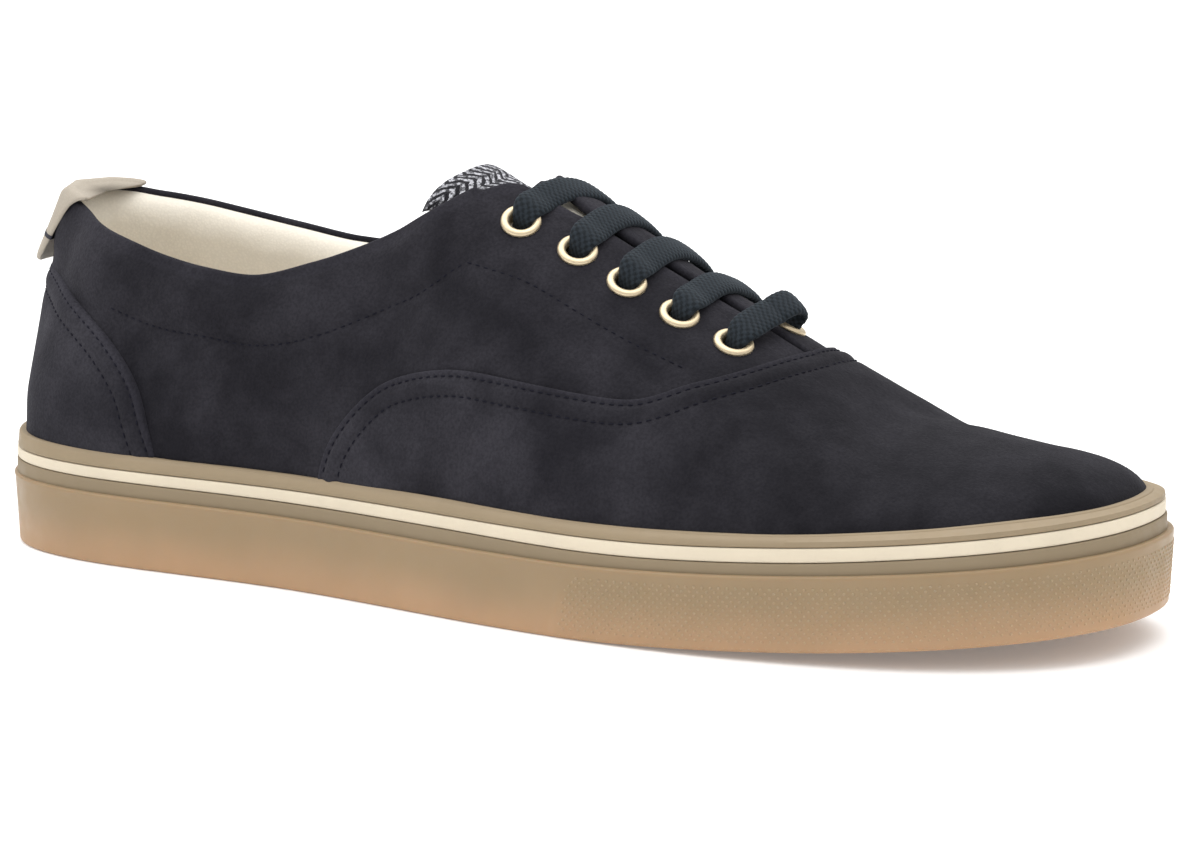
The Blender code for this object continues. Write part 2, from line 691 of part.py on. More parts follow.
def side_at(x):
    """The outline's y on the lateral and the medial side at x."""
    u = np.linspace(0, 1, 721)
    plan = outline(u, 0.0)[0]
    lateral = plan[:361]
    medial = plan[:359:-1]
    return (
        np.interp(x, lateral[:, 0], lateral[:, 1]),
        np.interp(x, medial[:, 0], medial[:, 1]),
    )


def tread_cutter():
    """Slots across the heel and the ball of the foot, and the hollow of the arch."""
    points = []
    faces = []
    slots = [(x, LUG_WIDTH, LUG_BORDER, LUG_DEPTH) for x in HEEL_LUGS_X + BALL_LUGS_X]
    arch_middle = sum(ARCH_X) / 2
    slots.append((arch_middle, ARCH_X[1] - ARCH_X[0], ARCH_BORDER, ARCH_DEPTH))
    for x, width, border, depth in slots:
        low, high = side_at(np.array([x - width / 2, x + width / 2]))
        low = low.max() + border
        high = high.min() - border
        top = spring(x) + depth
        corners, sides = box((x, (low + high) / 2, top / 2 - 2), (width, high - low, top + 4))
        faces += [[number + len(points) for number in side] for side in sides]
        points += corners.tolist()
    return add_object("tread_cutter", points, faces, None)


def build_outsole():
    """The gum cup: wall, floor, arch and tread."""
    u = COLUMNS
    rings = [
        level(u, 1.6, 0.0),
        level(u, 1.0, 0.6),
        level(u, 0.0, GUM_TOP_Z - GUM_ROUND),
        level(u, GUM_ROUND * 0.3, GUM_TOP_Z - GUM_ROUND * 0.3),
        level(u, GUM_ROUND, GUM_TOP_Z),
        beside_last(u, GUM_TOP_Z, GAP),
        beside_last(u, OUTSOLE_FLOOR_Z + 0.3, GAP),
    ]
    rings[-1][:, 2] -= 0.3
    made = slab_solid("outsole", rings, GUM)
    boolean(made, tread_cutter(), "DIFFERENCE")


def band_insets(u):
    """Insets of the foxing's lower face and upper face, and its top edge's depth."""
    x = outline(u, 0.0)[0][:, 0]
    return [column(BANDS, name, x) for name in ("lower", "upper", "top_edge")]


def build_foxing():
    """The taupe band round the upper, with the stripe's groove."""
    u = COLUMNS
    low, groove_low, groove_high, top = FOXING_Z
    lower, upper, top_edge = band_insets(u)
    inner_top = beside_last(u, top, GAP)
    outer_top = inner_top.copy()
    outer_top[:, :2] += top_edge[:, None] * outline(u, 0.0)[1]
    rings = [
        level(u, lower, low),
        level(u, lower, groove_low),
        level(u, upper + GROOVE_DEPTH, groove_low),
        level(u, upper + GROOVE_DEPTH, groove_high),
        level(u, upper, groove_high),
        level(u, upper + 0.2, groove_high + 1.2),
        outer_top,
        inner_top,
        beside_last(u, top - 1.9, GAP),
        beside_last(u, FEATHER_Z + 1.0, GAP),
        beside_last(u, groove_low, GAP),
        beside_last(u, low, GAP),
    ]
    ring_solid("foxing", rings, TAUPE)


def build_stripe():
    """The cream ring in the foxing's groove."""
    u = COLUMNS
    low, high = STRIPE_Z
    upper = band_insets(u)[1]
    rings = [
        level(u, upper - STRIPE_PROUD, low),
        level(u, upper - STRIPE_PROUD, high),
        level(u, upper + GROOVE_DEPTH - GAP, high),
        level(u, upper + GROOVE_DEPTH - GAP, low),
    ]
    ring_solid("stripe", rings, CREAM)


# ---- Upper ---------------------------------------------------------------
def ridge_normal(x):
    """Normal of the last along its ridge."""
    roll, slope = ridge(x)[2:]
    return unit(np.stack([-slope, -roll, np.ones_like(x)], -1))


def build_upper():
    """The shell: outer face, lining face, and the rims that join them."""
    u = COLUMNS
    count = len(u)
    share = np.linspace(0, 1, WALL_ROWS)
    foot = np.full((count, 1), -1.0)
    knee = np.full((count, 1), -0.4)
    v = np.concatenate([foot, knee, v_of_edge(u)[:, None] * share], axis=1)
    grid_u = np.broadcast_to(u[:, None], v.shape)
    outer = last_point(grid_u, v)
    inner = outer - WALL * last_normal(grid_u, v)
    vamp = np.arange(QUARTER_COLUMNS, TIP + 1)
    crown = outer[vamp, -1]
    inner[vamp, -1] = crown - WALL * ridge_normal(crown[:, 0])
    rows = v.shape[1]
    top = np.arange(count * rows).reshape(count, rows)
    below = top + count * rows
    for numbers in (top, below):
        numbers[count - vamp[:-1], -1] = numbers[vamp[:-1], -1]
    faces = grid_faces(top, close_rows=True)
    faces += flipped(grid_faces(below, close_rows=True))
    faces += flipped(grid_faces(np.stack([top[:, 0], below[:, 0]], 1), close_rows=True))
    edge = np.concatenate([np.arange(count - QUARTER_COLUMNS, count), np.arange(QUARTER_COLUMNS + 1)])
    faces += grid_faces(np.stack([top[edge, -1], below[edge, -1]], 1))
    faces = [list(dict.fromkeys(face)) for face in faces]
    points = np.concatenate([outer.reshape(-1, 3), inner.reshape(-1, 3)])
    used = np.unique(np.concatenate([np.array(face) for face in faces]))
    renumber = np.zeros(len(points), int)
    renumber[used] = np.arange(len(used))
    faces = [renumber[face].tolist() for face in faces]
    made = add_object("upper", points[used], faces, NUBUCK)
    boolean(made, eyelet_cutter(), "DIFFERENCE")


def build_counter():
    """The heel counter, a thick patch on the back of the upper."""
    one = np.ones(1)
    end = bisect(0.0 * one, 0.3 * one, lambda u: last_point(u, 0.1 * one)[:, 0] > COUNTER_END_X)
    other = bisect(0.7 * one, 1.0 * one, lambda u: last_point(u, 0.1 * one)[:, 0] < COUNTER_END_X)
    u = np.concatenate([other, COLUMNS[COLUMNS > other + 0.004], COLUMNS[COLUMNS < end - 0.004], end])
    low = v_at_height(u, COUNTER_Z)
    high = np.full(u.shape, 0.9)

    def over(v):
        x, _, z = np.moveaxis(last_point(u, v), -1, 0)
        return z > column(COUNTER, "z", x)

    top = np.maximum(bisect(low, high, over), low + 0.03)
    share = np.linspace(0, 1, 7)
    v = low[:, None] + (top - low)[:, None] * share
    grid_u = np.broadcast_to(u[:, None], v.shape)
    outer = shell_point(grid_u, v, COUNTER_CLEAR + COUNTER_THICK)
    inner = shell_point(grid_u, v, COUNTER_CLEAR)
    patch_solid("heel_counter", outer, inner, NUBUCK)


def tab_frames(side):
    """The collar's edge at these side offsets from the heel's middle, and outward."""
    near = np.linspace(-0.09, 0.09, 181)
    u = np.interp(side, -last_point(near, v_of_edge(near))[:, 1], near)
    edge = last_point(u, v_of_edge(u))
    return edge, np.concatenate([outline(u, 0.0)[1], np.zeros((len(u), 1))], -1)


def build_heel_tab():
    """The folded strip over the back of the collar."""
    line = table(TAB, "out", "up", "half")
    at = np.concatenate([[0.0], np.cumsum(np.hypot(*np.diff(line[:, :2], axis=0).T))])
    where = np.sort(np.concatenate([at, (at[1:] + at[:-1]) / 2]))
    smooth = along(at, line, even_slopes(at, line), where)
    ahead = unit(np.gradient(smooth[:, :2], axis=0))
    side = np.stack([ahead[:, 1], -ahead[:, 0]], -1)
    length, start, depth = TAB_ROUND
    end = np.sqrt(1 - ((where - at[-1] + start) / length).clip(0, 1) ** 2)
    half = smooth[:, 2] - depth * (1 - end)
    across = np.linspace(-1, 1, TAB_ACROSS)
    grids = []
    for sign in (-1, 1):
        path = smooth[:, :2] + sign * TAB_HALF * side
        edge, outward = tab_frames((across[:, None] * half).ravel())
        edge = edge.reshape(TAB_ACROSS, len(where), 3)
        outward = outward.reshape(TAB_ACROSS, len(where), 3)
        # The strip hangs from the collar's edge in the middle, so it stays level.
        edge[..., 2] += TAB_LEVEL * (edge[TAB_ACROSS // 2, :, 2] - edge[..., 2])
        grid = edge + path[None, :, :1] * outward
        grid[..., 2] += path[None, :, 1]
        grids.append(grid)
    patch_solid("heel_tab", grids[1], grids[0], TAB_LEATHER)


# ---- Tongue and insole ---------------------------------------------------
def build_tongue():
    """The padded tongue under the throat."""
    length = np.linspace(0, 1, 16)[:, None]
    across = np.linspace(-1, 1, 11)[None, :]
    half = TONGUE_HALF[0] + (TONGUE_HALF[1] - TONGUE_HALF[0]) * length
    back = TONGUE_BACK_X - TONGUE_BACK_DROP * across**2
    x = back + (TONGUE_FRONT_X - back) * length
    y = ridge(x)[0] + half * across
    u, v = locate(x.ravel(), y.ravel())
    u = u.reshape(x.shape)
    v = v.reshape(x.shape)
    front = np.clip((length - TONGUE_RISE[0]) / TONGUE_RISE[1], 0, 1)
    front = front * front * (3 - 2 * front)
    fade = np.clip((x - TONGUE_SAG_X[0]) / (TONGUE_SAG_X[1] - TONGUE_SAG_X[0]), 0, 1)
    fade = 1 - fade * fade * (3 - 2 * fade)
    depth = TONGUE_DEPTH + (TONGUE_SEAT - TONGUE_DEPTH) * front + TONGUE_SAG * fade * (1 - across**2)
    thick = TONGUE_THICK * (1 - 0.45 * front) * (1 - 0.35 * across**4)
    surface = last_point(u, v)
    normal = last_normal(u, np.minimum(v, 0.999))
    surface[..., 2] -= TONGUE_FALL * fade * np.clip(across, 0, 1) ** 2
    outer = surface - depth[..., None] * normal
    inner = surface - (depth + thick)[..., None] * normal
    patch_solid("tongue", outer, inner, TWEED)


def build_insole():
    """The footbed on the cup's floor, inside the upper."""
    u = COLUMNS
    low, high = INSOLE_Z
    clear = -(WALL + INSOLE_CLEAR)
    rings = [
        beside_last(u, low, clear - 0.6),
        beside_last(u, (low + high) / 2, clear),
        beside_last(u, high, clear - 0.3),
    ]
    slab_solid("insole", rings, FOOTBED)


# ---- Eyelets and lace ----------------------------------------------------
def eyelet_frames():
    """Middle, outward, forward and sideways direction of each eyelet."""
    xy = table(EYELETS, "x", "y")
    u, v = locate(xy[:, 0], xy[:, 1])
    middle = last_point(u, v)
    outward = last_normal(u, v)
    neighbour = np.concatenate([np.diff(middle[:5], axis=0), np.diff(middle[5:], axis=0)])
    forward = neighbour[[0, 0, 1, 2, 3, 4, 4, 5, 6, 7]] + neighbour[[0, 1, 2, 3, 3, 4, 5, 6, 7, 7]]
    forward = unit(forward - (forward * outward).sum(1)[:, None] * outward)
    return middle, outward, forward, np.cross(outward, forward)


MIDDLE, OUTWARD, FORWARD, SIDEWAYS = eyelet_frames()


def revolved(index, profile):
    """Points of a closed profile of (radius, height) turned round an eyelet's axis."""
    turn = np.arange(EYELET_SEGMENTS) * 2 * np.pi / EYELET_SEGMENTS
    spoke = np.cos(turn)[:, None] * FORWARD[index] + np.sin(turn)[:, None] * SIDEWAYS[index]
    profile = np.asarray(profile, float)
    return MIDDLE[index] + profile[:, None, :1] * spoke + profile[:, None, 1:] * OUTWARD[index]


def eyelet_cutter():
    """Ten pins, one through each eyelet's place in the upper."""
    points = []
    faces = []
    for index in range(len(EYELETS)):
        ends = revolved(index, ((EYELET_HOLE, -WALL - 3), (EYELET_HOLE, 3)))
        start = len(points)
        numbers = np.arange(2 * EYELET_SEGMENTS).reshape(2, EYELET_SEGMENTS) + start
        faces += flipped(grid_faces(numbers, close_columns=True))
        faces.append(numbers[0, ::-1].tolist())
        faces.append(numbers[1].tolist())
        points += ends.reshape(-1, 3).tolist()
    return add_object("eyelet_cutter", points, faces, None)


def build_eyelets():
    """A flanged ring in each hole."""
    profile = (
        (EYELET_BORE, -WALL - 0.2),
        (EYELET_BORE, 0.6),
        (EYELET_BORE + 0.5, 1.15),
        (EYELET_FLANGE - 0.8, 1.15),
        (EYELET_FLANGE, 0.75),
        (EYELET_FLANGE, GAP + 0.1),
        (EYELET_BARREL, GAP + 0.05),
        (EYELET_BARREL, -WALL - 0.2),
    )
    for index, eyelet in enumerate(EYELETS):
        points = revolved(index, profile)
        numbers = np.arange(points.shape[0] * points.shape[1]).reshape(points.shape[:2])
        faces = grid_faces(numbers, close_rows=True, close_columns=True)
        add_object("eyelet_" + eyelet.name, points.reshape(-1, 3), faces, BRASS)


def swept(path, flat, half):
    """Points and faces of an eight-sided strap along a path.

    flat is the strap's width direction, half its half width and half thickness
    at each point of the path.
    """
    ahead = unit(np.gradient(path, axis=0))
    flat = unit(flat - (flat * ahead).sum(1)[:, None] * ahead)
    thick = np.cross(ahead, flat)
    turn = (np.arange(8) + 0.5) * np.pi / 4
    wide = np.cos(turn)[None, :, None] * half[:, :1, None] * 1.08
    tall = np.sin(turn)[None, :, None] * half[:, 1:, None] * 1.08
    points = path[:, None] + wide * flat[:, None] + tall * thick[:, None]
    numbers = np.arange(len(path) * 8).reshape(-1, 8)
    faces = flipped(grid_faces(numbers, close_columns=True))
    faces.append(numbers[0, ::-1].tolist())
    faces.append(numbers[-1].tolist())
    return points.reshape(-1, 3), faces


def joined(shapes):
    """Several (points, faces) as one list of each."""
    points = []
    faces = []
    for some_points, some_faces in shapes:
        faces += [[number + len(points) for number in face] for face in some_faces]
        points += np.asarray(some_points).tolist()
    return points, faces


def lace_bar(pair):
    """One bar: up through the lateral eyelet, over the throat, down the other."""
    over = table(LACE_PATH, "inward", "height", "grown")
    looped = pair == 4
    down = table(LOOP_PATH if looped else LACE_PATH, "inward", "height", "grown")
    middle = LACE_LOOP_HEIGHT if looped else LACE_MIDDLE_HEIGHT
    span = MIDDLE[pair + 5, :2] - MIDDLE[pair, :2]
    length = np.linalg.norm(span)
    inner = np.linspace(over[-1, 0], length - down[-1, 0], LACE_INNER + 2)[1:-1]
    inward = np.concatenate([over[:, 0], inner, length - down[::-1, 0]])
    height = np.concatenate([over[:, 1], np.full(LACE_INNER, middle), down[::-1, 1]])
    grown = np.concatenate([over[:, 2], np.ones(LACE_INNER), down[::-1, 2]])[:, None]
    plan = MIDDLE[pair, :2] + inward[:, None] * span / length
    u, v = locate(plan[:, 0], plan[:, 1])
    path = last_point(u, v) + height[:, None] * last_normal(u, np.minimum(v, 0.999))
    half = np.array(LACE_PLUG_HALF) + grown * (np.array(LACE_BAR_HALF) - LACE_PLUG_HALF)
    flat = np.broadcast_to(unit(FORWARD[pair] + FORWARD[pair + 5]), path.shape)
    return swept(path, flat, half)


def lace_run(first):
    """The lace under one eyestay, through the foot of its five plugs."""
    where = np.linspace(0, 4, 9)
    x, y = (np.interp(where, np.arange(5), MIDDLE[first : first + 5, axis]) for axis in (0, 1))
    u, v = locate(x, y)
    normal = last_normal(u, v)
    path = last_point(u, v) - LACE_RUN_DEPTH * normal
    ahead = unit(np.gradient(path, axis=0))
    path[0] -= LACE_RUN_END * ahead[0]
    path[-1] += LACE_RUN_END * ahead[-1]
    half = np.broadcast_to(np.array(LACE_RUN_HALF), (len(path), 2))
    return swept(path, np.cross(normal, ahead), half)


def build_lace():
    """Five bars joined under the eyestays by two runs."""
    points, faces = joined([lace_bar(pair) for pair in range(5)])
    made = add_object("lace", points, faces, LACE_CORD)
    points, faces = joined([lace_run(0), lace_run(5)])
    boolean(made, add_object("lace_runs", points, faces, None), "UNION")


# ---- Shoe ----------------------------------------------------------------
def main():
    """Clears the scene and builds the shoe's pieces."""
    for old in list(bpy.data.objects):
        bpy.data.objects.remove(old, do_unlink=True)
    build_outsole()
    build_foxing()
    build_stripe()
    build_upper()
    build_counter()
    build_heel_tab()
    build_tongue()
    build_insole()
    build_eyelets()
    build_lace()


main()
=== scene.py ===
"""Looks of a low lace-up sneaker, right shoe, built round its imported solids.

+X points to the toe, +Y to the medial side and +Z up, with the floor at 0. The
sizes below are in millimetres and are turned into metres where a mesh is made.
"""

import logging
import math
from dataclasses import dataclass, replace
from enum import Enum
from typing import Callable, NamedTuple, Optional, Sequence

import bpy
import numpy as np
from mathutils import Matrix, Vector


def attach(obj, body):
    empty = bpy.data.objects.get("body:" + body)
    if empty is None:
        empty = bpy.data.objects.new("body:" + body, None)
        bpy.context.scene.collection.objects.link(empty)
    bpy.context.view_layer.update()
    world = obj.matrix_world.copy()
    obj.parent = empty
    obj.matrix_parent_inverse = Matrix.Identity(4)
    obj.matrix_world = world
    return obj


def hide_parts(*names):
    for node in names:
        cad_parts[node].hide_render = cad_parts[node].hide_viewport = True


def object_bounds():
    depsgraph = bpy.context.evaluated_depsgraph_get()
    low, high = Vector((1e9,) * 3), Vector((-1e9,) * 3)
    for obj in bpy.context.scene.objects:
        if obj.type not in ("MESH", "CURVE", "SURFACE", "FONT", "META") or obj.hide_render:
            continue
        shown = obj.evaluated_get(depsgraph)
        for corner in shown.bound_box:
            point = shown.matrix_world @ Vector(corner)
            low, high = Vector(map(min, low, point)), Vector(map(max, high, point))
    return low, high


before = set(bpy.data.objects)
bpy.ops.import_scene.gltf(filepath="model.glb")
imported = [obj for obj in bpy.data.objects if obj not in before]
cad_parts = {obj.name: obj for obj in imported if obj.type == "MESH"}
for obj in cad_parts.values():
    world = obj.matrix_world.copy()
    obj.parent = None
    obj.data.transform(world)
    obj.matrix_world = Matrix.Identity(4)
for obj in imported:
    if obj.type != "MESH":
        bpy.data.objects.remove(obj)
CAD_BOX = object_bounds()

Array = np.ndarray
Two = tuple[float, float]
Triple = tuple[float, float, float]
LOG = logging.getLogger("sneaker")

MM = 0.001
PI = math.pi
BODY = "root"

HEEL_X = float(CAD_BOX[0][0]) / MM
TOE_X = float(CAD_BOX[1][0]) / MM


# ---- Tables of the last, the same as the solids' ----
class Station(NamedTuple):
    """One place on the outsole's outline and the wall above it.

    crown_x: where the wall reaches the ridge. half_gap: from the ridge to the
    wall's end. rise, shoulder: handle lengths at the wall's foot and top. lean:
    inward, degrees. flare: outward share of the heel cone's top direction.
    tuck: from the outline in to the upper's foot.
    """

    x: float
    y: float
    crown_x: float
    half_gap: float
    rise: float
    lean: float
    shoulder: float
    flare: float
    tuck: float


class Crown(NamedTuple):
    """One point of the ridge over the foot, and how far it rolls."""

    x: float
    y: float
    z: float
    roll: float


class Pair(NamedTuple):
    """A value that changes along the shoe."""

    x: float
    value: float


class Gap(NamedTuple):
    """Where the throat's two edges stand, each outward from the ridge."""

    x: float
    lateral: float
    medial: float


class SeamPoint(NamedTuple):
    """A point of a seam: x with its height z, or x with its side offset y."""

    x: float
    y: Optional[float]
    z: Optional[float]


def rows_of(kind: type, *rows: tuple) -> tuple:
    """A table's rows, each as a named tuple of this kind."""
    return tuple(kind(*row) for row in rows)


def seam(side: Sequence[tuple], above: Sequence[tuple] = ()) -> tuple[SeamPoint, ...]:
    """A seam's points: (x, z) where it is seen from the side, then (x, y) from above."""
    return (*(SeamPoint(x, None, z) for x, z in side), *(SeamPoint(x, y, None) for x, y in above))


STATIONS = rows_of(
    Station,
    (-150, 0, -121, 0, 30, 7, 20, 0.55, 3.3),
    (-147.3, -16.3, -118.5, 6, 30, 7, 20, 0.5, 3.3),
    (-138, -29, -111, 10.5, 30, 6, 20, 0.45, 3.4),
    (-119, -37.5, -100, 14.5, 30, 4, 20, 0.35, 3.8),
    (-90, -40, -80, 16, 30, 3, 20, 0.3, 4.1),
    (-55, -40.7, -62, 14.5, 30, 2, 20, 0.3, 4.4),
    (-25, -44.8, -45, 8, 30, 2, 24, 0.35, 4.4),
    (3, -49.6, -27, 1.5, 28, 2, 28, 0.35, 4.4),
    (30, -52.6, 2, 0, 24, 4, 28, 0.35, 4.4),
    (58, -53, 32, 0, 18, 5, 27, 0.35, 4.4),
    (84, -50.3, 60, 0, 14, 6, 26, 0.35, 4.4),
    (106, -45, 82, 0, 11, 6, 26, 0.35, 4.6),
    (126, -35.8, 98, 0, 9.5, 6, 26, 0.35, 4.8),
    (140, -23.8, 107, 0, 9, 8, 27, 0.35, 5),
    (148.3, -8.5, 111.5, 0, 9, 8, 28, 0.35, 5),
    (150, 6, 112.5, 0, 9, 8, 28, 0.35, 5),
    (147.4, 20.5, 111, 0, 9, 8, 28, 0.35, 5),
    (137.5, 34.5, 105, 0, 9, 8, 25, 0.35, 5),
    (118, 46, 93, 0, 11, 8, 19, 0.35, 4.8),
    (91, 51, 70, 0, 13, 9, 17, 0.35, 4.4),
    (60, 49.3, 40, 0, 17, 7, 20, 0.35, 4.4),
    (28, 43.5, 8, 0, 24, 4, 25, 0.35, 4.4),
    (-10, 38, -30, 2, 30, 2, 26, 0.35, 4.4),
    (-50, 37.2, -58, 12, 30, 2, 20, 0.3, 4.4),
    (-90, 38.8, -80, 14.5, 30, 3, 20, 0.3, 4.1),
    (-118, 37.5, -100, 14, 30, 4, 20, 0.35, 3.8),
    (-138, 29, -111, 10.5, 30, 6, 20, 0.45, 3.4),
    (-147.3, 16.3, -118.5, 6, 30, 7, 20, 0.5, 3.3),
)

RIDGE = rows_of(
    Crown,
    (-124, 0, 118, 0), (-60, 0, 118, 0), (-40, 0, 112, 0.02), (-25, 0, 106, 0.06), (-9, 0, 99, 0.08),
    (13.5, 0.5, 87.6, 0.085), (39.5, 1, 73.2, 0.085), (53, 1.5, 66.4, 0.08), (73, 2.5, 55.5, 0.05),
    (88, 3.3, 47, 0.02), (103, 4.2, 44.2, 0), (114, 4.8, 43.2, 0),
)

COLLAR_LATERAL = rows_of(
    Pair,
    (-145, 85.7), (-138.6, 85.6), (-134.6, 84.4), (-130, 83), (-122, 80.6), (-109, 77.9), (-94, 74.7),
    (-84, 73.2), (-71, 72.2), (-52.5, 76.6), (-33, 84.8), (-26.4, 88.6), (-20.1, 92.4), (-16.3, 94.9),
    (-12.8, 97.2), (-9.5, 98.6), (-4, 99.7),
)

COLLAR_MEDIAL = rows_of(
    Pair,
    (-145, 85.7), (-138.6, 85.7), (-130, 85.2), (-124, 84), (-107, 80.3), (-88, 77.2), (-71, 75),
    (-52.5, 74.6), (-33, 82), (-16, 93), (-9, 96.8), (-4, 98.2),
)

THROAT = rows_of(
    Gap,
    (-14, 15.6, 16), (-11.5, 12.9, 15), (-9.5, 10.2, 13.4), (-7.4, 8.3, 11), (-5.5, 7.3, 7.3),
    (-3.5, 7, 3.8), (-1, 6.9, 1.2), (2, 6.7, -0.6), (6, 6.2, -1.8), (12, 5.1, -2.5), (20, 4.4, -2.2),
    (26, 3.6, -1.3), (32, 2.6, -0.1), (38, 1.9, 0.6), (44, 1.4, 1), (52, 0.9, 1), (60, 0.6, 0.6),
    (66, 0, 0),
)

WING = seam(
    [
        (-44.6, 24), (-44.3, 27.1), (-42.8, 33.2), (-39.7, 39), (-34.1, 45.6), (-27.8, 50.5),
        (-19.3, 53.8), (-10.4, 55.7), (-1.1, 56.1), (8.8, 55.3), (19.6, 54.2), (30.8, 53.1),
        (41.1, 53.1),
    ],
    [(50.6, -28), (55.8, -23.1), (61.8, -11), (63.7, -3.1)],
)

WING_MEDIAL = seam(
    [(round(row.x + 2.6, 1), row.z) for row in WING[:12]],
    [(44, 33.5), (54, 27.5), (60.8, 20), (64.3, 11)],
)

COUNTER = seam(
    [
        (-145.5, 68.2), (-139.5, 67.4), (-131, 64.9), (-122.7, 61.5), (-111.3, 55.4), (-104.1, 49.5),
        (-98, 41.7), (-95, 34), (-92.5, 27.4), (-91.6, 24),
    ],
)

COLLAR_STITCH = seam(
    [
        (-110, 61.2), (-90.5, 57.4), (-79.6, 56.8), (-72.9, 56.1), (-62.5, 56.3), (-50.8, 59),
        (-40.2, 63.1), (-28.4, 68.4), (-19.6, 73.1), (-10.4, 79.2),
    ],
)

EYESTAY_STITCH = seam([], [
    (-10.2, -26.9), (-2.1, -26.8), (5.1, -26.4), (12.9, -26.5), (22.8, -26.7), (33.7, -26.6),
    (43.2, -26), (47, -25.8),
])


# ---- Curves ----
def table(rows: Sequence[NamedTuple], *names: str) -> Array:
    """The named columns of a table's rows, side by side."""
    return np.array([[getattr(row, name) for name in names] for row in rows], float)


def ring_slopes(at: Array, values: Array) -> Array:
    """Slopes of the smooth closed curve through the values.

    Args:
        at: Places of the values, growing.
        values: One row a place. The last row is the first one again.

    Returns:
        Slopes that make the second derivative the same on both sides of each
        value.
    """
    step = np.diff(at)
    chord = np.diff(values, axis=0) / step[:, None]
    count = len(step)
    here = np.arange(count)
    back = 1 / np.roll(step, 1)
    ahead = 1 / step
    matrix = np.zeros((count, count))
    matrix[here, here] = 2 * (back + ahead)
    matrix[here, (here - 1) % count] += back
    matrix[here, (here + 1) % count] += ahead
    right = 3 * (np.roll(chord, 1, axis=0) * back[:, None] + chord * ahead[:, None])
    slopes = np.linalg.solve(matrix, right)
    return np.vstack([slopes, slopes[:1]])


def open_slopes(at: Array, values: Array) -> Array:
    """Slopes of the smooth open curve through the values, straight at its ends."""
    step = np.diff(at)
    chord = np.diff(values, axis=0) / step[:, None]
    count = len(at)
    inner = np.arange(1, count - 1)
    matrix = np.zeros((count, count))
    right = np.zeros_like(values)
    matrix[inner, inner - 1] = 1 / step[:-1]
    matrix[inner, inner] = 2 * (1 / step[:-1] + 1 / step[1:])
    matrix[inner, inner + 1] = 1 / step[1:]
    right[1:-1] = 3 * (chord[:-1] / step[:-1, None] + chord[1:] / step[1:, None])
    matrix[0, :2] = (2, 1)
    matrix[-1, -2:] = (1, 2)
    right[0] = 3 * chord[0]
    right[-1] = 3 * chord[-1]
    return np.linalg.solve(matrix, right)


def even_slopes(at: Array, values: Array) -> Array:
    """Slopes that never carry a curve past its own values."""
    step = np.diff(at)[:, None]
    chord = np.diff(values, axis=0) / step
    slopes = np.zeros_like(values)
    same = chord[1:] * chord[:-1] > 0
    near = 2 * step[1:] + step[:-1]
    far = step[1:] + 2 * step[:-1]
    before = np.where(same, chord[:-1], 1)
    after = np.where(same, chord[1:], 1)
    slopes[1:-1] = np.where(same, (near + far) / (near / before + far / after), 0)
    slopes[0] = chord[0]
    slopes[-1] = chord[-1]
    return slopes


def along(at: Array, values: Array, slopes: Array, where: Array) -> Array:
    """The cubic curve with these values and slopes, read at each place."""
    index = np.clip(np.searchsorted(at, where, side="right") - 1, 0, len(at) - 2)
    step = (at[index + 1] - at[index])[..., None]
    s = (where - at[index])[..., None] / step
    return (
        (1 + 2 * s) * (1 - s) ** 2 * values[index]
        + s * (1 - s) ** 2 * step * slopes[index]
        + s * s * (3 - 2 * s) * values[index + 1]
        + s * s * (s - 1) * step * slopes[index + 1]
    )


def looked_up(rows: Sequence[NamedTuple], x: Array, *names: str) -> Array:
    """A table's columns read evenly at each x, and level past its ends.

    Args:
        rows: Rows that have an x each.
        x: Places to read at.
        names: The wanted columns, or none for all but x.

    Returns:
        One array a column, in the shape of x, or only the array where there is
        one column.
    """
    at = table(rows, "x")[:, 0]
    values = table(rows, *(names or rows[0]._fields[1:]))
    read = along(at, values, even_slopes(at, values), np.clip(x, at[0], at[-1]))
    return read[..., 0] if values.shape[1] == 1 else np.moveaxis(read, -1, 0)


def unit(vectors: Array) -> Array:
    """The vectors at length 1."""
    return vectors / np.maximum(np.linalg.norm(vectors, axis=-1, keepdims=True), 1e-12)


def dot(first: Array, second: Array) -> Array:
    """Products of the vectors, with the last axis kept."""
    return (first * second).sum(-1, keepdims=True)


def ease(value: Array, low: float, high: float) -> Array:
    """0 below low, 1 above high, and a smooth step between them."""
    t = np.clip((np.asarray(value, float) - low) / (high - low), 0, 1)
    return t * t * (3 - 2 * t)


def step_at(value: Array, place: float, soft: float) -> Array:
    """0 before a place and 1 past it, changing over this much on either side."""
    return ease(value, place - soft, place + soft)


def hump(value: Array, middle: float, width: float) -> Array:
    """A bell of height 1 at middle, falling to 1/e at width from it."""
    return np.exp(-(((value - middle) / width) ** 2))


def powered(value: Array, power: float) -> Array:
    """The value's size raised to a power, with its sign kept."""
    return np.sign(value) * np.abs(value) ** power


def dome(value: Array, power: float = 2.0) -> Array:
    """1 at 0, falling to 0 at 1 like the quarter of a rounded square."""
    return np.sqrt(np.clip(1 - np.abs(value) ** power, 0, 1))


def spokes(first: Array, second: Array, count: int) -> Array:
    """Directions evenly all round, from the first towards the second."""
    turn = (np.arange(count) * 2 * PI / count)[:, None]
    return np.cos(turn) * first + np.sin(turn) * second


def grid_normal(grid: Array) -> Array:
    """Normals of a grid of points, by its steps along rows and columns."""
    return unit(np.cross(np.gradient(grid, axis=0), np.gradient(grid, axis=1)))


def bisect(low: Array, high: Array, above: Callable[[Array], Array]) -> Array:
    """Halves each interval towards the place where above turns true."""
    for _ in range(36):
        middle = (low + high) / 2
        found = above(middle)
        high = np.where(found, middle, high)
        low = np.where(found, low, middle)
    return (low + high) / 2


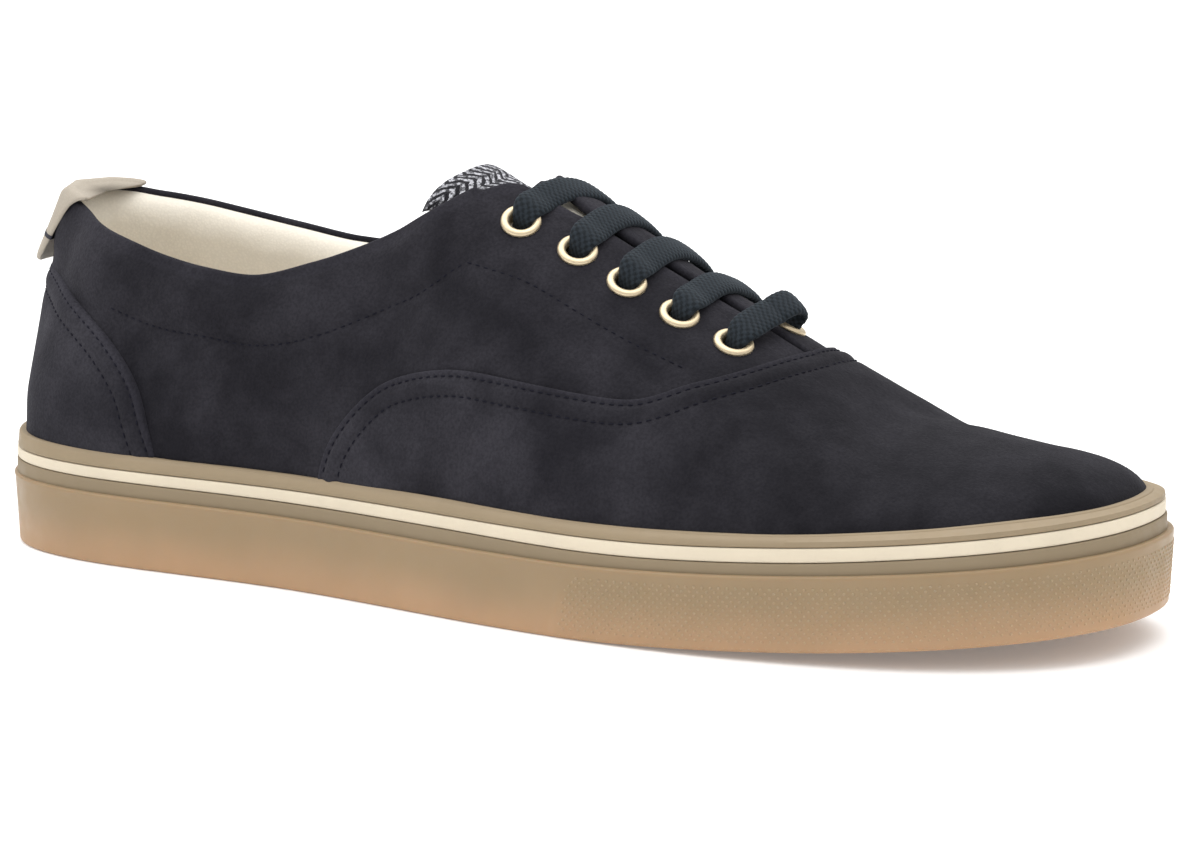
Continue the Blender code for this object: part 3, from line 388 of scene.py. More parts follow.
def near_line(points: Array, line: Array) -> Array:
    """Distance from each point to a line of points, taken piece by piece.

    Args:
        points: Points of any grid shape, xyz last.
        line: The line's own points, in order.

    Returns:
        The least distance, in the grid's shape.
    """
    flat = points.reshape(-1, 3)
    start = line[:-1]
    span = line[1:] - start
    square = np.maximum((span * span).sum(1), 1e-9)
    least = np.empty(len(flat))
    for first in range(0, len(flat), 20000):
        part = flat[first : first + 20000]
        offset = part[:, None] - start[None]
        share = np.clip((offset * span[None]).sum(2) / square, 0, 1)
        gap = offset - share[..., None] * span[None]
        least[first : first + 20000] = np.sqrt((gap * gap).sum(2).min(1))
    return least.reshape(points.shape[:-1])


def ripple(points: Array, size: float, seed: int) -> Array:
    """Soft unevenness from -1 to 1: seven sine waves across the space.

    Args:
        points: Points in millimetres, xyz last.
        size: Length of a wave in millimetres.
        seed: Number that the waves' directions come from.
    """
    chance = np.random.default_rng(seed)
    ways = unit(chance.normal(size=(7, 3)))
    starts = chance.uniform(0, 2 * PI, 7)
    lengths = size * chance.uniform(0.7, 1.6, 7)
    phase = points @ (ways / lengths[:, None]).T * 2 * PI + starts
    return np.sin(phase).sum(-1) / 4


def measure(line: Array) -> Array:
    """Distance along a line of points to each of them."""
    return np.concatenate([[0.0], np.cumsum(np.linalg.norm(np.diff(line, axis=0), axis=1))])


# ---- Last ----
STATION_VALUES = table(STATIONS + STATIONS[:1], *Station._fields)
STATION_AT = measure(STATION_VALUES[:, :2])
STATION_SLOPES = ring_slopes(STATION_AT, STATION_VALUES)
GAP_SLOPES = even_slopes(STATION_AT, STATION_VALUES[:, 3:4])
RIDGE_AT = table(RIDGE, "x")[:, 0]
RIDGE_VALUES = table(RIDGE, "y", "z", "roll")
RIDGE_SLOPES = even_slopes(RIDGE_AT, RIDGE_VALUES)


class View(Enum):
    """The two axes that a seam's points are given on."""

    SIDE = (0, 2)
    ABOVE = (0, 1)


class Side(Enum):
    """A side of the foot, as its range of u."""

    LATERAL = (0.004, 0.5)
    MEDIAL = (0.5, 0.996)


@dataclass(frozen=True)
class Last:
    """The foot's form under the upper, as a surface of u and v.

    u is the share of the way round the outsole's outline, from the heel's back
    by the lateral side. v is 0 at the feather line and 1 at the ridge.
    """

    feather_z: float = 22.0
    feather_drop: float = 12.0
    feather_tuck: float = 2.5
    cone_gap: float = 10.0
    toe_spring: float = 7.8
    spring_from: float = 28.0
    spring_power: float = 1.5
    throat_end: float = 66.0

    def spring(self, x: Array) -> Array:
        """Lift of the sole at x, growing with a power of the distance."""
        share = np.clip((x - self.spring_from) / (TOE_X - self.spring_from), 0, None)
        return self.toe_spring * share**self.spring_power

    def station(self, u: Array) -> Array:
        """The station table's columns at u."""
        where = np.mod(u, 1.0) * STATION_AT[-1]
        values = along(STATION_AT, STATION_VALUES, STATION_SLOPES, where)
        values[..., 3] = along(STATION_AT, STATION_VALUES[:, 3:4], GAP_SLOPES, where)[..., 0]
        return values

    def crown(self, u: Array) -> Array:
        """x at which the wall above u reaches the ridge."""
        return self.station(u)[..., 2]

    def outward(self, u: Array) -> Array:
        """Level direction out of the foot at u, square to the outline."""
        step = 1e-4
        ahead = unit(self.station(u + step)[..., :2] - self.station(u - step)[..., :2])
        return np.stack([ahead[..., 1], -ahead[..., 0], np.zeros_like(ahead[..., 0])], -1)

    def level(self, u: Array, inset: Array, height: Array) -> Array:
        """Points at this inset from the outline and height over the sole's underside."""
        plan = self.station(u)[..., :2] - np.asarray(inset)[..., None] * self.outward(u)[..., :2]
        up = np.asarray(height) + self.spring(plan[..., 0])
        return np.concatenate([plan, up[..., None]], -1)

    def ridge(self, x: Array) -> tuple[Array, Array]:
        """The ridge's (y, z, roll) and its rise per millimetre forward at x."""
        step = 0.01
        values = along(RIDGE_AT, RIDGE_VALUES, RIDGE_SLOPES, x)
        ahead = along(RIDGE_AT, RIDGE_VALUES, RIDGE_SLOPES, x + step)
        behind = along(RIDGE_AT, RIDGE_VALUES, RIDGE_SLOPES, x - step)
        return values, (ahead[..., 1] - behind[..., 1]) / (2 * step)

    def ridge_normal(self, x: Array) -> Array:
        """Normal of the form along its ridge."""
        values, slope = self.ridge(x)
        return unit(np.stack([-slope, -values[..., 2], np.ones_like(x)], -1))

    def controls(self, u: Array) -> tuple[Array, Array, Array, Array]:
        """The four control points of the wall's cubic above each u.

        Returns:
            The foot on the feather line, its handle leaning inward, the crown's
            handle, and the crown. The crown's handle lies on the ridge's own
            surface, or points down the heel's cone where the half gap is wide.
        """
        values = self.station(u)
        crown_x, half_gap, rise, lean = (values[..., i] for i in (2, 3, 4, 5))
        shoulder, flare, tuck = (values[..., i] for i in (6, 7, 8))
        outward = self.outward(u)
        foot = self.level(u, tuck, self.feather_z)
        line, slope = self.ridge(crown_x)
        crown = np.stack([crown_x, line[..., 0], line[..., 1]], -1)
        across = unit(foot[..., :2] - crown[..., :2])
        crown[..., 1] += half_gap * across[..., 1]
        lean = np.radians(lean)[..., None]
        up = np.zeros_like(foot)
        up[..., 2] = 1
        start = foot + rise[..., None] * (np.cos(lean) * up - np.sin(lean) * outward)
        fall = slope * across[..., 0] + line[..., 2] * across[..., 1]
        on_ridge = unit(np.concatenate([across, fall[..., None]], -1))
        down = -np.ones_like(across[..., :1])
        on_cone = np.concatenate([across * flare[..., None], down], -1)
        blend = ease(half_gap, 0, self.cone_gap)[..., None]
        end = crown + shoulder[..., None] * unit((1 - blend) * on_ridge + blend * on_cone)
        return foot, start, end, crown

    def point(self, u: Array, v: Array) -> Array:
        """Point of the upper's outer face, dropping and turning in below v = 0."""
        foot, start, end, crown = self.controls(u)
        v = np.asarray(v, float)[..., None]
        low = np.minimum(v, 0)
        v = np.maximum(v, 0)
        w = 1 - v
        point = w**3 * foot + 3 * w * w * v * start + 3 * w * v * v * end + v**3 * crown
        point[..., 2:] += self.feather_drop * low
        return point - self.feather_tuck * low * low * self.outward(u)

    def slopes(self, u: Array, v: Array) -> tuple[Array, Array]:
        """How the point moves with u and with v."""
        step = 1e-4
        v = np.minimum(v, 1 - step)
        with_u = (self.point(u + step, v) - self.point(u - step, v)) / (2 * step)
        with_v = (self.point(u, v + step) - self.point(u, v - step)) / (2 * step)
        return with_u, with_v

    def normal(self, u: Array, v: Array) -> Array:
        """Outward normal of the upper's outer face."""
        return unit(np.cross(*self.slopes(u, v)))

    def skin(self, u: Array, v: Array, offset: Array) -> Array:
        """Point at this distance outside the upper's outer face."""
        return self.point(u, v) + np.asarray(offset)[..., None] * self.normal(u, v)

    def walk(self, u: Array, v: Array, way: Array, distance: float) -> tuple[Array, Array]:
        """(u, v) some way along the face, by short steps that solve its two slopes.

        Args:
            u, v: Where to start.
            way: Tangent directions.
            distance: How far to go.
        """
        steps = max(1, math.ceil(abs(distance) / 0.8))
        move = way * distance / steps
        for _ in range(steps):
            with_u, with_v = self.slopes(u, v)
            uu, uv, vv = dot(with_u, with_u), dot(with_u, with_v), dot(with_v, with_v)
            mu, mv = dot(with_u, move), dot(with_v, move)
            area = uu * vv - uv * uv
            u = u + ((vv * mu - uv * mv) / area)[..., 0]
            v = v + ((uu * mv - uv * mu) / area)[..., 0]
        return u, v

    def find(self, goal: Array, view: View, side: Two) -> tuple[Array, Array]:
        """(u, v) of the points that have these coordinates in a view.

        Args:
            goal: Wanted coordinates on the view's two axes.
            view: From the side or from above.
            side: Range of u to start from.

        Returns:
            u and v, from the nearest of a grid of points and then by Newton's
            method.
        """
        axes = list(view.value)
        grid_u, grid_v = np.meshgrid(np.linspace(*side, 170), np.linspace(-0.2, 1, 50))
        grid_u, grid_v = grid_u.ravel(), grid_v.ravel()
        near = self.point(grid_u, grid_v)[:, axes]
        first = np.linalg.norm(goal[:, None] - near[None], axis=-1).argmin(axis=1)
        u, v = grid_u[first], grid_v[first]
        for _ in range(16):
            with_u, with_v = (slope[:, axes] for slope in self.slopes(u, v))
            miss = goal - self.point(u, v)[:, axes]
            area = with_u[:, 0] * with_v[:, 1] - with_u[:, 1] * with_v[:, 0]
            area = np.where(np.abs(area) < 1e-3, 1e-3, area)
            more_u = (miss[:, 0] * with_v[:, 1] - miss[:, 1] * with_v[:, 0]) / area
            more_v = (with_u[:, 0] * miss[:, 1] - with_u[:, 1] * miss[:, 0]) / area
            u = u + np.clip(more_u, -0.02, 0.02)
            v = v + np.clip(more_v, -0.1, 0.1)
        return u, v

    def v_at(self, u: Array, height: float) -> Array:
        """v where the wall stands this high over the sole's underside."""

        def above(v: Array) -> Array:
            """Whether the wall is past the height at v."""
            point = self.point(u, v)
            return point[..., 2] - self.spring(point[..., 0]) > height

        return bisect(np.full(u.shape, -1.0), np.full(u.shape, 0.6), above)

    def v_of_edge(self, u: Array) -> Array:
        """v of the upper's free edge: the collar, the throat, or the ridge."""
        lateral = self.outward(u)[..., 1] < 0

        def past(v: Array) -> Array:
            """Whether the face is past its free edge at v."""
            x, y, z = np.moveaxis(self.point(u, v), -1, 0)
            collar = np.where(lateral, looked_up(COLLAR_LATERAL, x), looked_up(COLLAR_MEDIAL, x))
            near, far = looked_up(THROAT, x)
            off = y - self.ridge(x)[0][..., 0]
            inside = np.where(lateral, -off < near, off < far)
            return ((z > collar) & (x < COLLAR_LATERAL[-1].x)) | (inside & (x > THROAT[0].x))

        edge = bisect(np.full(u.shape, 0.1), np.full(u.shape, 1.15), past)
        return np.where(self.crown(u) > self.throat_end - 1e-6, 1.0, edge)

    def u_where_crown(self, x: float, side: Side) -> float:
        """u of the column whose crown is at x, in front of the waist."""
        tip = self.tip()
        if side is Side.LATERAL:
            found = bisect(np.array([0.2]), np.array([tip]), lambda u: self.crown(u) > x)
        else:
            found = bisect(np.array([tip]), np.array([0.8]), lambda u: self.crown(u) < x)
        return float(found[0])

    def tip(self) -> float:
        """u of the column that reaches furthest forward on the ridge."""
        fine = np.linspace(0.4, 0.6, 20001)
        return float(fine[self.crown(fine).argmax()])


LAST = Last()
FRONT = (0.2, 0.82)  # range of u round the front of the foot


def face_between(u: Array, low: Array, top: Array, rows: int) -> tuple[Array, Array, Array]:
    """The upper's outer face between two values of v above each u.

    Returns:
        v, the points and their normals, with a row of each for every u.
    """
    v = low[:, None] + (top - low)[:, None] * np.linspace(0, 1, rows)
    wide_u = np.broadcast_to(u[:, None], v.shape)
    return v, LAST.point(wide_u, v), LAST.normal(wide_u, v)


@dataclass(frozen=True)
class Path:
    """A line on the last, by its u and v, with its frames."""

    u: Array
    v: Array
    inward: int = 1

    @classmethod
    def through(cls, u: Array, v: Array, count: int, inward: int = 1) -> "Path":
        """The smooth line through some places, cut into even pieces.

        Args:
            u, v: The places, in order.
            count: Number of the line's points.
            inward: 1 where its inward side is on the left, -1 on the right.
        """
        at = measure(LAST.point(u, v))
        values = np.stack([u, v], -1)
        fine = np.linspace(0, at[-1], count)
        read = along(at, values, open_slopes(at, values), fine)
        return cls(read[:, 0], read[:, 1], inward)

    @classmethod
    def of_seam(cls, rows: Sequence[SeamPoint], side: Side, inward: int = 1) -> "Path":
        """The line through a seam's points on one side of the foot."""
        u = np.empty(len(rows))
        v = np.empty(len(rows))
        for view in View:
            picked = [i for i, row in enumerate(rows) if (row.y is None) is (view is View.SIDE)]
            if picked:
                goal = [[rows[i].x, rows[i].z if view is View.SIDE else rows[i].y] for i in picked]
                reach = side.value if view is View.SIDE else FRONT
                u[picked], v[picked] = LAST.find(np.array(goal, float), view, reach)
        return cls.through(u, v, 240, inward)

    def points(self, offset: float = 0.0) -> Array:
        """The line's points, this far outside the face."""
        return LAST.skin(self.u, self.v, offset)

    def frames(self) -> tuple[Array, Array, Array]:
        """Directions ahead, across to the inward side, and out of the face."""
        point = LAST.point(self.u, self.v)
        normal = LAST.normal(self.u, self.v)
        ahead = np.gradient(point, axis=0)
        ahead = unit(ahead - dot(ahead, normal) * normal)
        return ahead, self.inward * np.cross(normal, ahead), normal

    def inset(self, distance: float) -> "Path":
        """The line at this distance to the inward side."""
        across = self.frames()[1]
        u, v = LAST.walk(self.u, self.v, across, distance)
        return Path(u, v, self.inward)

    def gap(self, points: Array, step: int = 4) -> Array:
        """Distance from each point to the line, measured on every few of its points."""
        return near_line(points, self.points()[::step])

    def v_by_u(self, u: Array) -> Array:
        """v of the line where it passes each u."""
        order = np.argsort(self.u)
        return np.interp(u, self.u[order], self.v[order])


# ---- Meshes ----
def linked(name: str, data: bpy.types.ID) -> bpy.types.Object:
    """A new object of the scene that holds this mesh, lamp or camera."""
    made = bpy.data.objects.new(name, data)
    bpy.context.scene.collection.objects.link(made)
    return made


class Shape:
    """A piece's points in millimetres, its faces, and values kept on its points."""

    def __init__(self) -> None:
        """Starts with no points."""
        self.points: list[Array] = []
        self.faces: list[Array] = []
        self.values: dict[str, list[tuple[int, Array]]] = {}
        self.count = 0

    def add(self, points: Array, **values: object) -> Array:
        """Adds a grid of points.

        Args:
            points: The points in millimetres, xyz last.
            values: A value of each name for them, one or a grid.

        Returns:
            The points' numbers, in the grid's shape.
        """
        shape = points.shape[:-1]
        size = int(np.prod(shape))
        for name, value in values.items():
            spread = np.broadcast_to(value, shape).astype(np.float32).ravel()
            self.values.setdefault(name, []).append((self.count, spread))
        self.points.append(points.reshape(-1, 3))
        self.count += size
        return np.arange(self.count - size, self.count).reshape(shape)

    def cover(
        self,
        numbers: Array,
        ring_rows: bool = False,
        ring_columns: bool = False,
        turned: bool = False,
    ) -> None:
        """Quads between neighbouring numbers of a grid.

        Args:
            numbers: Point numbers. Repeated ones make triangles or nothing.
            ring_rows: The last row meets the first.
            ring_columns: The last column meets the first.
            turned: The faces look the other way.
        """
        rows = np.concatenate([numbers, numbers[:1]]) if ring_rows else numbers
        both = np.hstack([rows, rows[:, :1]]) if ring_columns else rows
        corners = (both[:-1, :-1], both[1:, :-1], both[1:, 1:], both[:-1, 1:])
        quads = np.stack(corners, -1).reshape(-1, 4)
        self.take(quads[:, ::-1] if turned else quads)

    def take(self, faces: Array) -> None:
        """Adds faces, with those that repeat a point made smaller or left out."""
        whole = np.ones(len(faces), bool)
        sides = faces.shape[1]
        for k in range(sides):
            same = faces[:, k] == faces[:, (k + 1) % sides]
            if sides == 4:
                rest = np.delete(faces, k, axis=1)[same & whole]
                self.take(rest)
            whole &= ~same
        if whole.any():
            self.faces.append(faces[whole])

    def tube(self, grid: Array, turned: bool = False, end: float = 0.0, **values: object) -> None:
        """A closed tube: its sections are rows, and each end is a fan to its own middle.

        Args:
            grid: The sections' points.
            turned: The side's faces look the other way, and the ends' with them.
            end: What the ends' middles have for every value.
            values: A value of each name for the sections' points.
        """
        numbers = self.add(grid, **values)
        self.cover(numbers, ring_columns=True, turned=turned)
        for row, over in ((0, turned), (-1, not turned)):
            ring = numbers[row]
            middle = self.add(grid[row].mean(axis=0)[None], **dict.fromkeys(values, end))
            faces = np.stack([ring, np.roll(ring, -1), np.full(len(ring), middle[0])], -1)
            self.take(faces[:, ::-1] if over else faces)

    def pillow(self, top: Array, low: Array) -> None:
        """Covers two faces by their numbers, joined all round at the first one's border."""
        low[0], low[-1] = top[0], top[-1]
        low[:, 0], low[:, -1] = top[:, 0], top[:, -1]
        self.cover(top)
        self.cover(low, turned=True)

    def beads(self, rings: Sequence[Array], turned: bool = False) -> None:
        """Faces between the neighbouring rings of many small round bodies.

        Args:
            rings: Point numbers, a row of them for each body, or one for a pole.
            turned: The faces look the other way.
        """
        sides = max(ring.size // len(ring) for ring in rings)
        wide = [np.broadcast_to(ring.reshape(len(ring), -1), (len(ring), sides)) for ring in rings]
        for first, second in zip(wide[:-1], wide[1:]):
            corners = [first, second, np.roll(second, -1, axis=1), np.roll(first, -1, axis=1)]
            quads = np.stack(corners, -1).reshape(-1, 4)
            self.take(quads[:, [0, 3, 2, 1]] if turned else quads)

    def pierce(self, middles: Array, axes: Array, radius: float, reach: float) -> None:
        """Leaves out the faces round some axes.

        Args:
            middles: A point on each axis.
            axes: The axes' directions.
            radius: Distance from the axis within which a face goes.
            reach: Distance along the axis within which it does.
        """
        points = np.concatenate(self.points)
        kept = []
        for faces in self.faces:
            centre = points[faces].mean(axis=1)
            open_here = np.zeros(len(faces), bool)
            for middle, axis in zip(middles, axes):
                away = centre - middle
                height = away @ axis
                across = np.linalg.norm(away - height[:, None] * axis, axis=1)
                open_here |= (across < radius) & (np.abs(height) < reach)
            kept.append(faces[~open_here])
        self.faces = kept

    def piece(
        self, name: str, finish: "Finish", nodes: Sequence[str] = (), crease: float = 0.0
    ) -> bpy.types.Object:
        """The shape as an object that rides on the shoe.

        Args:
            name: The piece's name.
            finish: Its finish, which gives the material.
            nodes: Solids that it stands for.
            crease: Angle in degrees over which an edge is sharp, or 0.
        """
        mesh = bpy.data.meshes.new(name)
        points = np.concatenate(self.points) * MM
        mesh.from_pydata(points.tolist(), [], [f for part in self.faces for f in part.tolist()])
        for value_name, parts in self.values.items():
            read = np.zeros(self.count, np.float32)
            for start, part in parts:
                read[start : start + len(part)] = part
            mesh.attributes.new(value_name, "FLOAT", "POINT").data.foreach_set("value", read)
        mesh.polygons.foreach_set("use_smooth", np.ones(len(mesh.polygons), bool))
        if crease:
            mesh.set_sharp_from_angle(angle=math.radians(crease))
        mesh.materials.append(finish.material())
        mesh.update()
        made = linked(name, mesh)
        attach(made, BODY)
        if nodes:
            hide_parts(*nodes)
        mesh.calc_loop_triangles()
        LOG.info("%s: %d triangles", name, len(mesh.loop_triangles))
        return made


# ---- Finishes ----
Socket = bpy.types.NodeSocket


class Graph:
    """A material's nodes, joined as they are made. Lengths are in millimetres."""

    def __init__(self, name: str) -> None:
        """Starts a material of this name, with the place in millimetres at hand."""
        self.material = bpy.data.materials.new(name)
        self.material.use_nodes = True
        self.tree = self.material.node_tree
        self.shader = self.tree.nodes["Principled BSDF"]
        place = self.node("ShaderNodeTexCoord").outputs["Object"]
        scaled = self.node("ShaderNodeVectorMath", {"operation": "SCALE"}, Vector=place, Scale=1 / MM)
        self.place = scaled.outputs[0]

    def node(self, kind: str, settings: Optional[dict] = None, **inputs: object) -> bpy.types.Node:
        """A node with these settings and inputs, where an input is a value or a socket."""
        made = self.tree.nodes.new(kind)
        for name, value in (settings or {}).items():
            setattr(made, name, value)
        for name, value in inputs.items():
            self.join(made.inputs[name.replace("_", " ")], value)
        return made

    def join(self, socket: Socket, value: object) -> None:
        """Links a socket to another, or sets its value."""
        if isinstance(value, Socket):
            self.tree.links.new(value, socket)
        elif isinstance(value, tuple) and len(value) == 3 and socket.type == "RGBA":
            socket.default_value = (*value, 1)
        else:
            socket.default_value = value

    def noise(self, length: float, detail: float = 3.0) -> Socket:
        """Cloudy noise, about 0.5, whose patches are this long."""
        return self.node("ShaderNodeTexNoise", Vector=self.place, Scale=1 / length, Detail=detail).outputs[0]

    def cells(self, length: float) -> Socket:
        """Distance to the nearest of scattered points, spaced about this far apart."""
        return self.node("ShaderNodeTexVoronoi", Vector=self.place, Scale=1 / length).outputs["Distance"]

    def value(self, name: str) -> Socket:
        """The value of this name kept on the points."""
        return self.node("ShaderNodeAttribute", {"attribute_name": name}).outputs["Fac"]

    def math(self, operation: str, first: object, second: object = 0.0) -> Socket:
        """A sum, product or other operation on two values."""
        made = self.node("ShaderNodeMath", {"operation": operation})
        self.join(made.inputs[0], first)
        self.join(made.inputs[1], second)
        return made.outputs[0]

    def tint(self, color: object, by: Socket, low: float, high: float, most: float, other: Triple) -> Socket:
        """The colour turned towards another, by up to this share as a value goes from low to high."""
        return self.mix(self.span(by, low, high, 0, most), color, other)

    def times(self, first: object, second: object) -> Socket:
        """The product of two values."""
        return self.math("MULTIPLY", first, second)

    def plus(self, first: object, second: object) -> Socket:
        """The sum of two values."""
        return self.math("ADD", first, second)

    def span(self, value: object, low: float, high: float, to_low: float, to_high: float) -> Socket:
        """The value carried from one range to another, smoothly and clamped."""
        made = self.node("ShaderNodeMapRange", {"interpolation_type": "SMOOTHSTEP"})
        for number, given in enumerate((value, low, high, to_low, to_high)):
            self.join(made.inputs[number], given)
        return made.outputs[0]

    def mix(self, share: object, first: object, second: object, blend: str = "MIX") -> Socket:
        """A colour between two others."""
        made = self.node("ShaderNodeMix", {"data_type": "RGBA", "blend_type": blend})
        self.join(made.inputs[0], share)
        self.join(made.inputs[6], first)
        self.join(made.inputs[7], second)
        return made.outputs[2]

    def along(self, axis: str) -> Socket:
        """The place along an axis of the shoe."""
        return self.node("ShaderNodeSeparateXYZ", Vector=self.place).outputs[axis]

    def bump(self, height: Socket, depth: float, after: Optional[Socket] = None) -> Socket:
        """A normal from a height between 0 and 1 that is this deep."""
        made = self.node("ShaderNodeBump", Height=height, Strength=1.0, Distance=depth * MM)
        if after:
            self.join(made.inputs["Normal"], after)
        return made.outputs[0]

    def dress(self, **inputs: object) -> None:
        """Sets or links the shader's own inputs."""
        for name, value in inputs.items():
            self.join(self.shader.inputs[name.replace("_", " ")], value)


@dataclass(frozen=True)
class Finish:
    """A finish with its name, its record slot and its main colour."""

    name: str
    slot: str
    color: Triple

    def material(self) -> bpy.types.Material:
        """The finish's material, made once."""
        found = bpy.data.materials.get(self.name)
        if found:
            return found
        graph = Graph(self.name)
        self.paint(graph)
        graph.material.diffuse_color = (*self.color, 1)
        return graph.material

    def paint(self, graph: Graph) -> None:
        """Fills the graph with this finish."""
        graph.dress(Base_Color=self.color)

    def shade(self, factor: float) -> Triple:
        """The main colour made darker or lighter."""
        return tuple(min(1.0, part * factor) for part in self.color)


@dataclass(frozen=True)
class Nubuck(Finish):
    """Brushed leather with a cloudy nap and a fine, dull surface."""

    cloud: float = 26.0
    streak: float = 7.0
    nap: float = 0.32
    light: Triple = (0.0280, 0.0266, 0.0325)
    # toe_x and the share after it darken the colour towards the toe: painted shade.
    toe_x: Two = (15.0, 95.0)
    toe_painted_shade: float = 0.9

    def paint(self, graph: Graph) -> None:
        """Mixes two tones by clouds of two sizes, with painted shade darker to the toe, and edges lightened
        partly by wear and partly by a painted highlight.
        """
        clouds = graph.noise(self.cloud, 4)
        brushed = graph.noise(self.streak, 5)
        fine = graph.noise(self.nap * 2.2, 2)
        tone = graph.plus(graph.times(clouds, 0.72), graph.times(brushed, 0.28))
        tone = graph.span(tone, 0.34, 0.68, 0, 1)
        color = graph.mix(tone, self.color, self.light)
        # Painted shade: the colour is multiplied down towards the toe, where less light falls.
        toe_shade_mask = graph.span(graph.along("X"), *self.toe_x, 0, 1)
        color = graph.mix(toe_shade_mask, color, (self.toe_painted_shade,) * 3, "MULTIPLY")
        # Lighter where the edge value is set: partly wear, partly a painted highlight on the rolled edges.
        color = graph.mix(graph.times(graph.value("worn"), 0.5), color, self.shade(3.0))
        color = graph.tint(color, fine, 0.3, 0.75, 0.35, self.shade(0.45))
        nap = graph.noise(self.nap, 3)
        pores = graph.cells(self.nap * 2.6)
        skin = graph.plus(nap, graph.times(pores, 0.5))
        normal = graph.bump(skin, 0.10)
        normal = graph.bump(brushed, 0.35, normal)
        graph.dress(
            Base_Color=color,
            Roughness=graph.span(fine, 0.3, 0.7, 0.86, 0.98),
            Normal=normal,
            Specular_IOR_Level=0.08,
            Sheen_Weight=0.045,
            Sheen_Roughness=0.5,
            Sheen_Tint=(0.72, 0.70, 0.78),
        )


@dataclass(frozen=True)
class Gum(Finish):
    """Gum rubber that lets a little light in and is warmer near the floor."""

    low: Triple = (0.425, 0.262, 0.146)
    warm_to: float = 12.0
    lift_x: Two = (28.0, 165.0)

    def paint(self, graph: Graph) -> None:
        """Colours by height, with faint flow marks and a painted highlight on the raised dots."""
        height = graph.plus(graph.along("Z"), graph.times(graph.noise(18, 2), 5.0))
        lift = graph.span(graph.along("X"), *self.lift_x, 0, LAST.toe_spring)
        height = graph.math("SUBTRACT", height, lift)
        color = graph.mix(graph.span(height, 1.0, self.warm_to + 4, 1, 0), self.color, self.low)
        color = graph.tint(color, graph.noise(30, 4), 0.35, 0.7, 0.18, self.shade(0.7))
        # Painted highlight: each dot's top is lightened by how far it rises.
        color = graph.mix(graph.times(graph.value("raised"), 0.22), color, (0.50, 0.38, 0.26))
        specks = graph.span(graph.cells(1.3), 0.0, 0.16, 0.12, 0)
        color = graph.mix(specks, color, self.shade(0.55))
        normal = graph.bump(graph.noise(0.5, 3), 0.015)
        graph.dress(
            Base_Color=color,
            Roughness=graph.span(graph.noise(6, 3), 0.3, 0.7, 0.40, 0.54),
            Normal=normal,
            Specular_IOR_Level=0.35,
            Subsurface_Weight=0.25,
            Subsurface_Radius=(1.0, 0.45, 0.2),
            Subsurface_Scale=3.0 * MM,
        )


@dataclass(frozen=True)
class Rubber(Finish):
    """Plain moulded rubber with a dull face."""

    roughness: float = 0.6

    def paint(self, graph: Graph) -> None:
        """Slight stains, painted shade where the shade value is set, and a fine matt grain."""
        color = graph.tint(self.color, graph.noise(14, 4), 0.35, 0.7, 0.25, self.shade(0.8))
        # Painted shade, darker by the shade value kept on the points.
        color = graph.mix(graph.times(graph.value("shade"), 0.9), color, self.shade(0.72))
        color = graph.tint(color, graph.noise(1.1, 2), 0.5, 0.8, 0.2, self.shade(0.85))
        graph.dress(
            Base_Color=color,
            Roughness=graph.span(graph.noise(4, 2), 0.3, 0.7, self.roughness - 0.06, self.roughness + 0.08),
            Normal=graph.bump(graph.noise(0.35, 3), 0.02),
            Specular_IOR_Level=0.3,
        )


@dataclass(frozen=True)
class Leather(Finish):
    """Smooth leather with fine pores and a soft shine."""

    grain: float = 0.7
    roughness: float = 0.55
    depth: float = 0.035

    def paint(self, graph: Graph) -> None:
        """A pebble of small cells over a slow change of tone."""
        color = graph.tint(self.color, graph.noise(20, 4), 0.35, 0.7, 0.3, self.shade(0.86))
        cells = graph.cells(self.grain)
        color = graph.tint(color, cells, 0.25, 0.6, 0.25, self.shade(0.8))
        # Painted shade, darker by the shade value kept on the points.
        color = graph.mix(graph.times(graph.value("shade"), 0.8), color, self.shade(0.55))
        pebble = graph.math("SUBTRACT", 1.0, cells)
        normal = graph.bump(graph.plus(pebble, graph.noise(self.grain * 0.5, 3)), self.depth)
        normal = graph.bump(graph.noise(6, 3), 0.12, normal)
        graph.dress(
            Base_Color=color,
            Roughness=graph.span(cells, 0.0, 0.6, self.roughness - 0.08, self.roughness + 0.1),
            Normal=normal,
            Specular_IOR_Level=0.4,
        )


@dataclass(frozen=True)
class Tweed(Finish):
    """Woven cloth in a herringbone of dark and light threads."""

    light: Triple = (0.56, 0.56, 0.60)
    band: float = 2.9
    thread: float = 1.15

    def paint(self, graph: Graph) -> None:
        """Slanted threads that turn round at each band, fuzzy at their edges."""
        across = graph.value("across")
        down = graph.value("down")
        fuzz = graph.times(graph.math("SUBTRACT", graph.noise(0.5, 3), 0.5), 0.55)
        uneven = graph.plus(down, graph.times(graph.noise(2.2, 2), 1.6))
        band = graph.math("PINGPONG", uneven, self.band)
        slant = graph.plus(graph.plus(band, across), fuzz)
        thread = graph.math("PINGPONG", slant, self.thread)
        light = graph.span(thread, self.thread * 0.38, self.thread * 0.62, 0, 1)
        flecks = graph.span(graph.noise(0.9, 2), 0.38, 0.58, 0.1, 1)
        light = graph.times(light, flecks)
        color = graph.mix(light, self.color, self.light)
        yarn = graph.math("PINGPONG", graph.times(slant, 2.0), self.thread * 0.5)
        height = graph.plus(graph.times(yarn, 1.2), graph.noise(0.3, 3))
        graph.dress(
            Base_Color=color,
            Roughness=0.95,
            Normal=graph.bump(height, 0.22),
            Specular_IOR_Level=0.15,
            Sheen_Weight=0.2,
            Sheen_Roughness=0.4,
            Sheen_Tint=(0.8, 0.8, 0.85),
        )


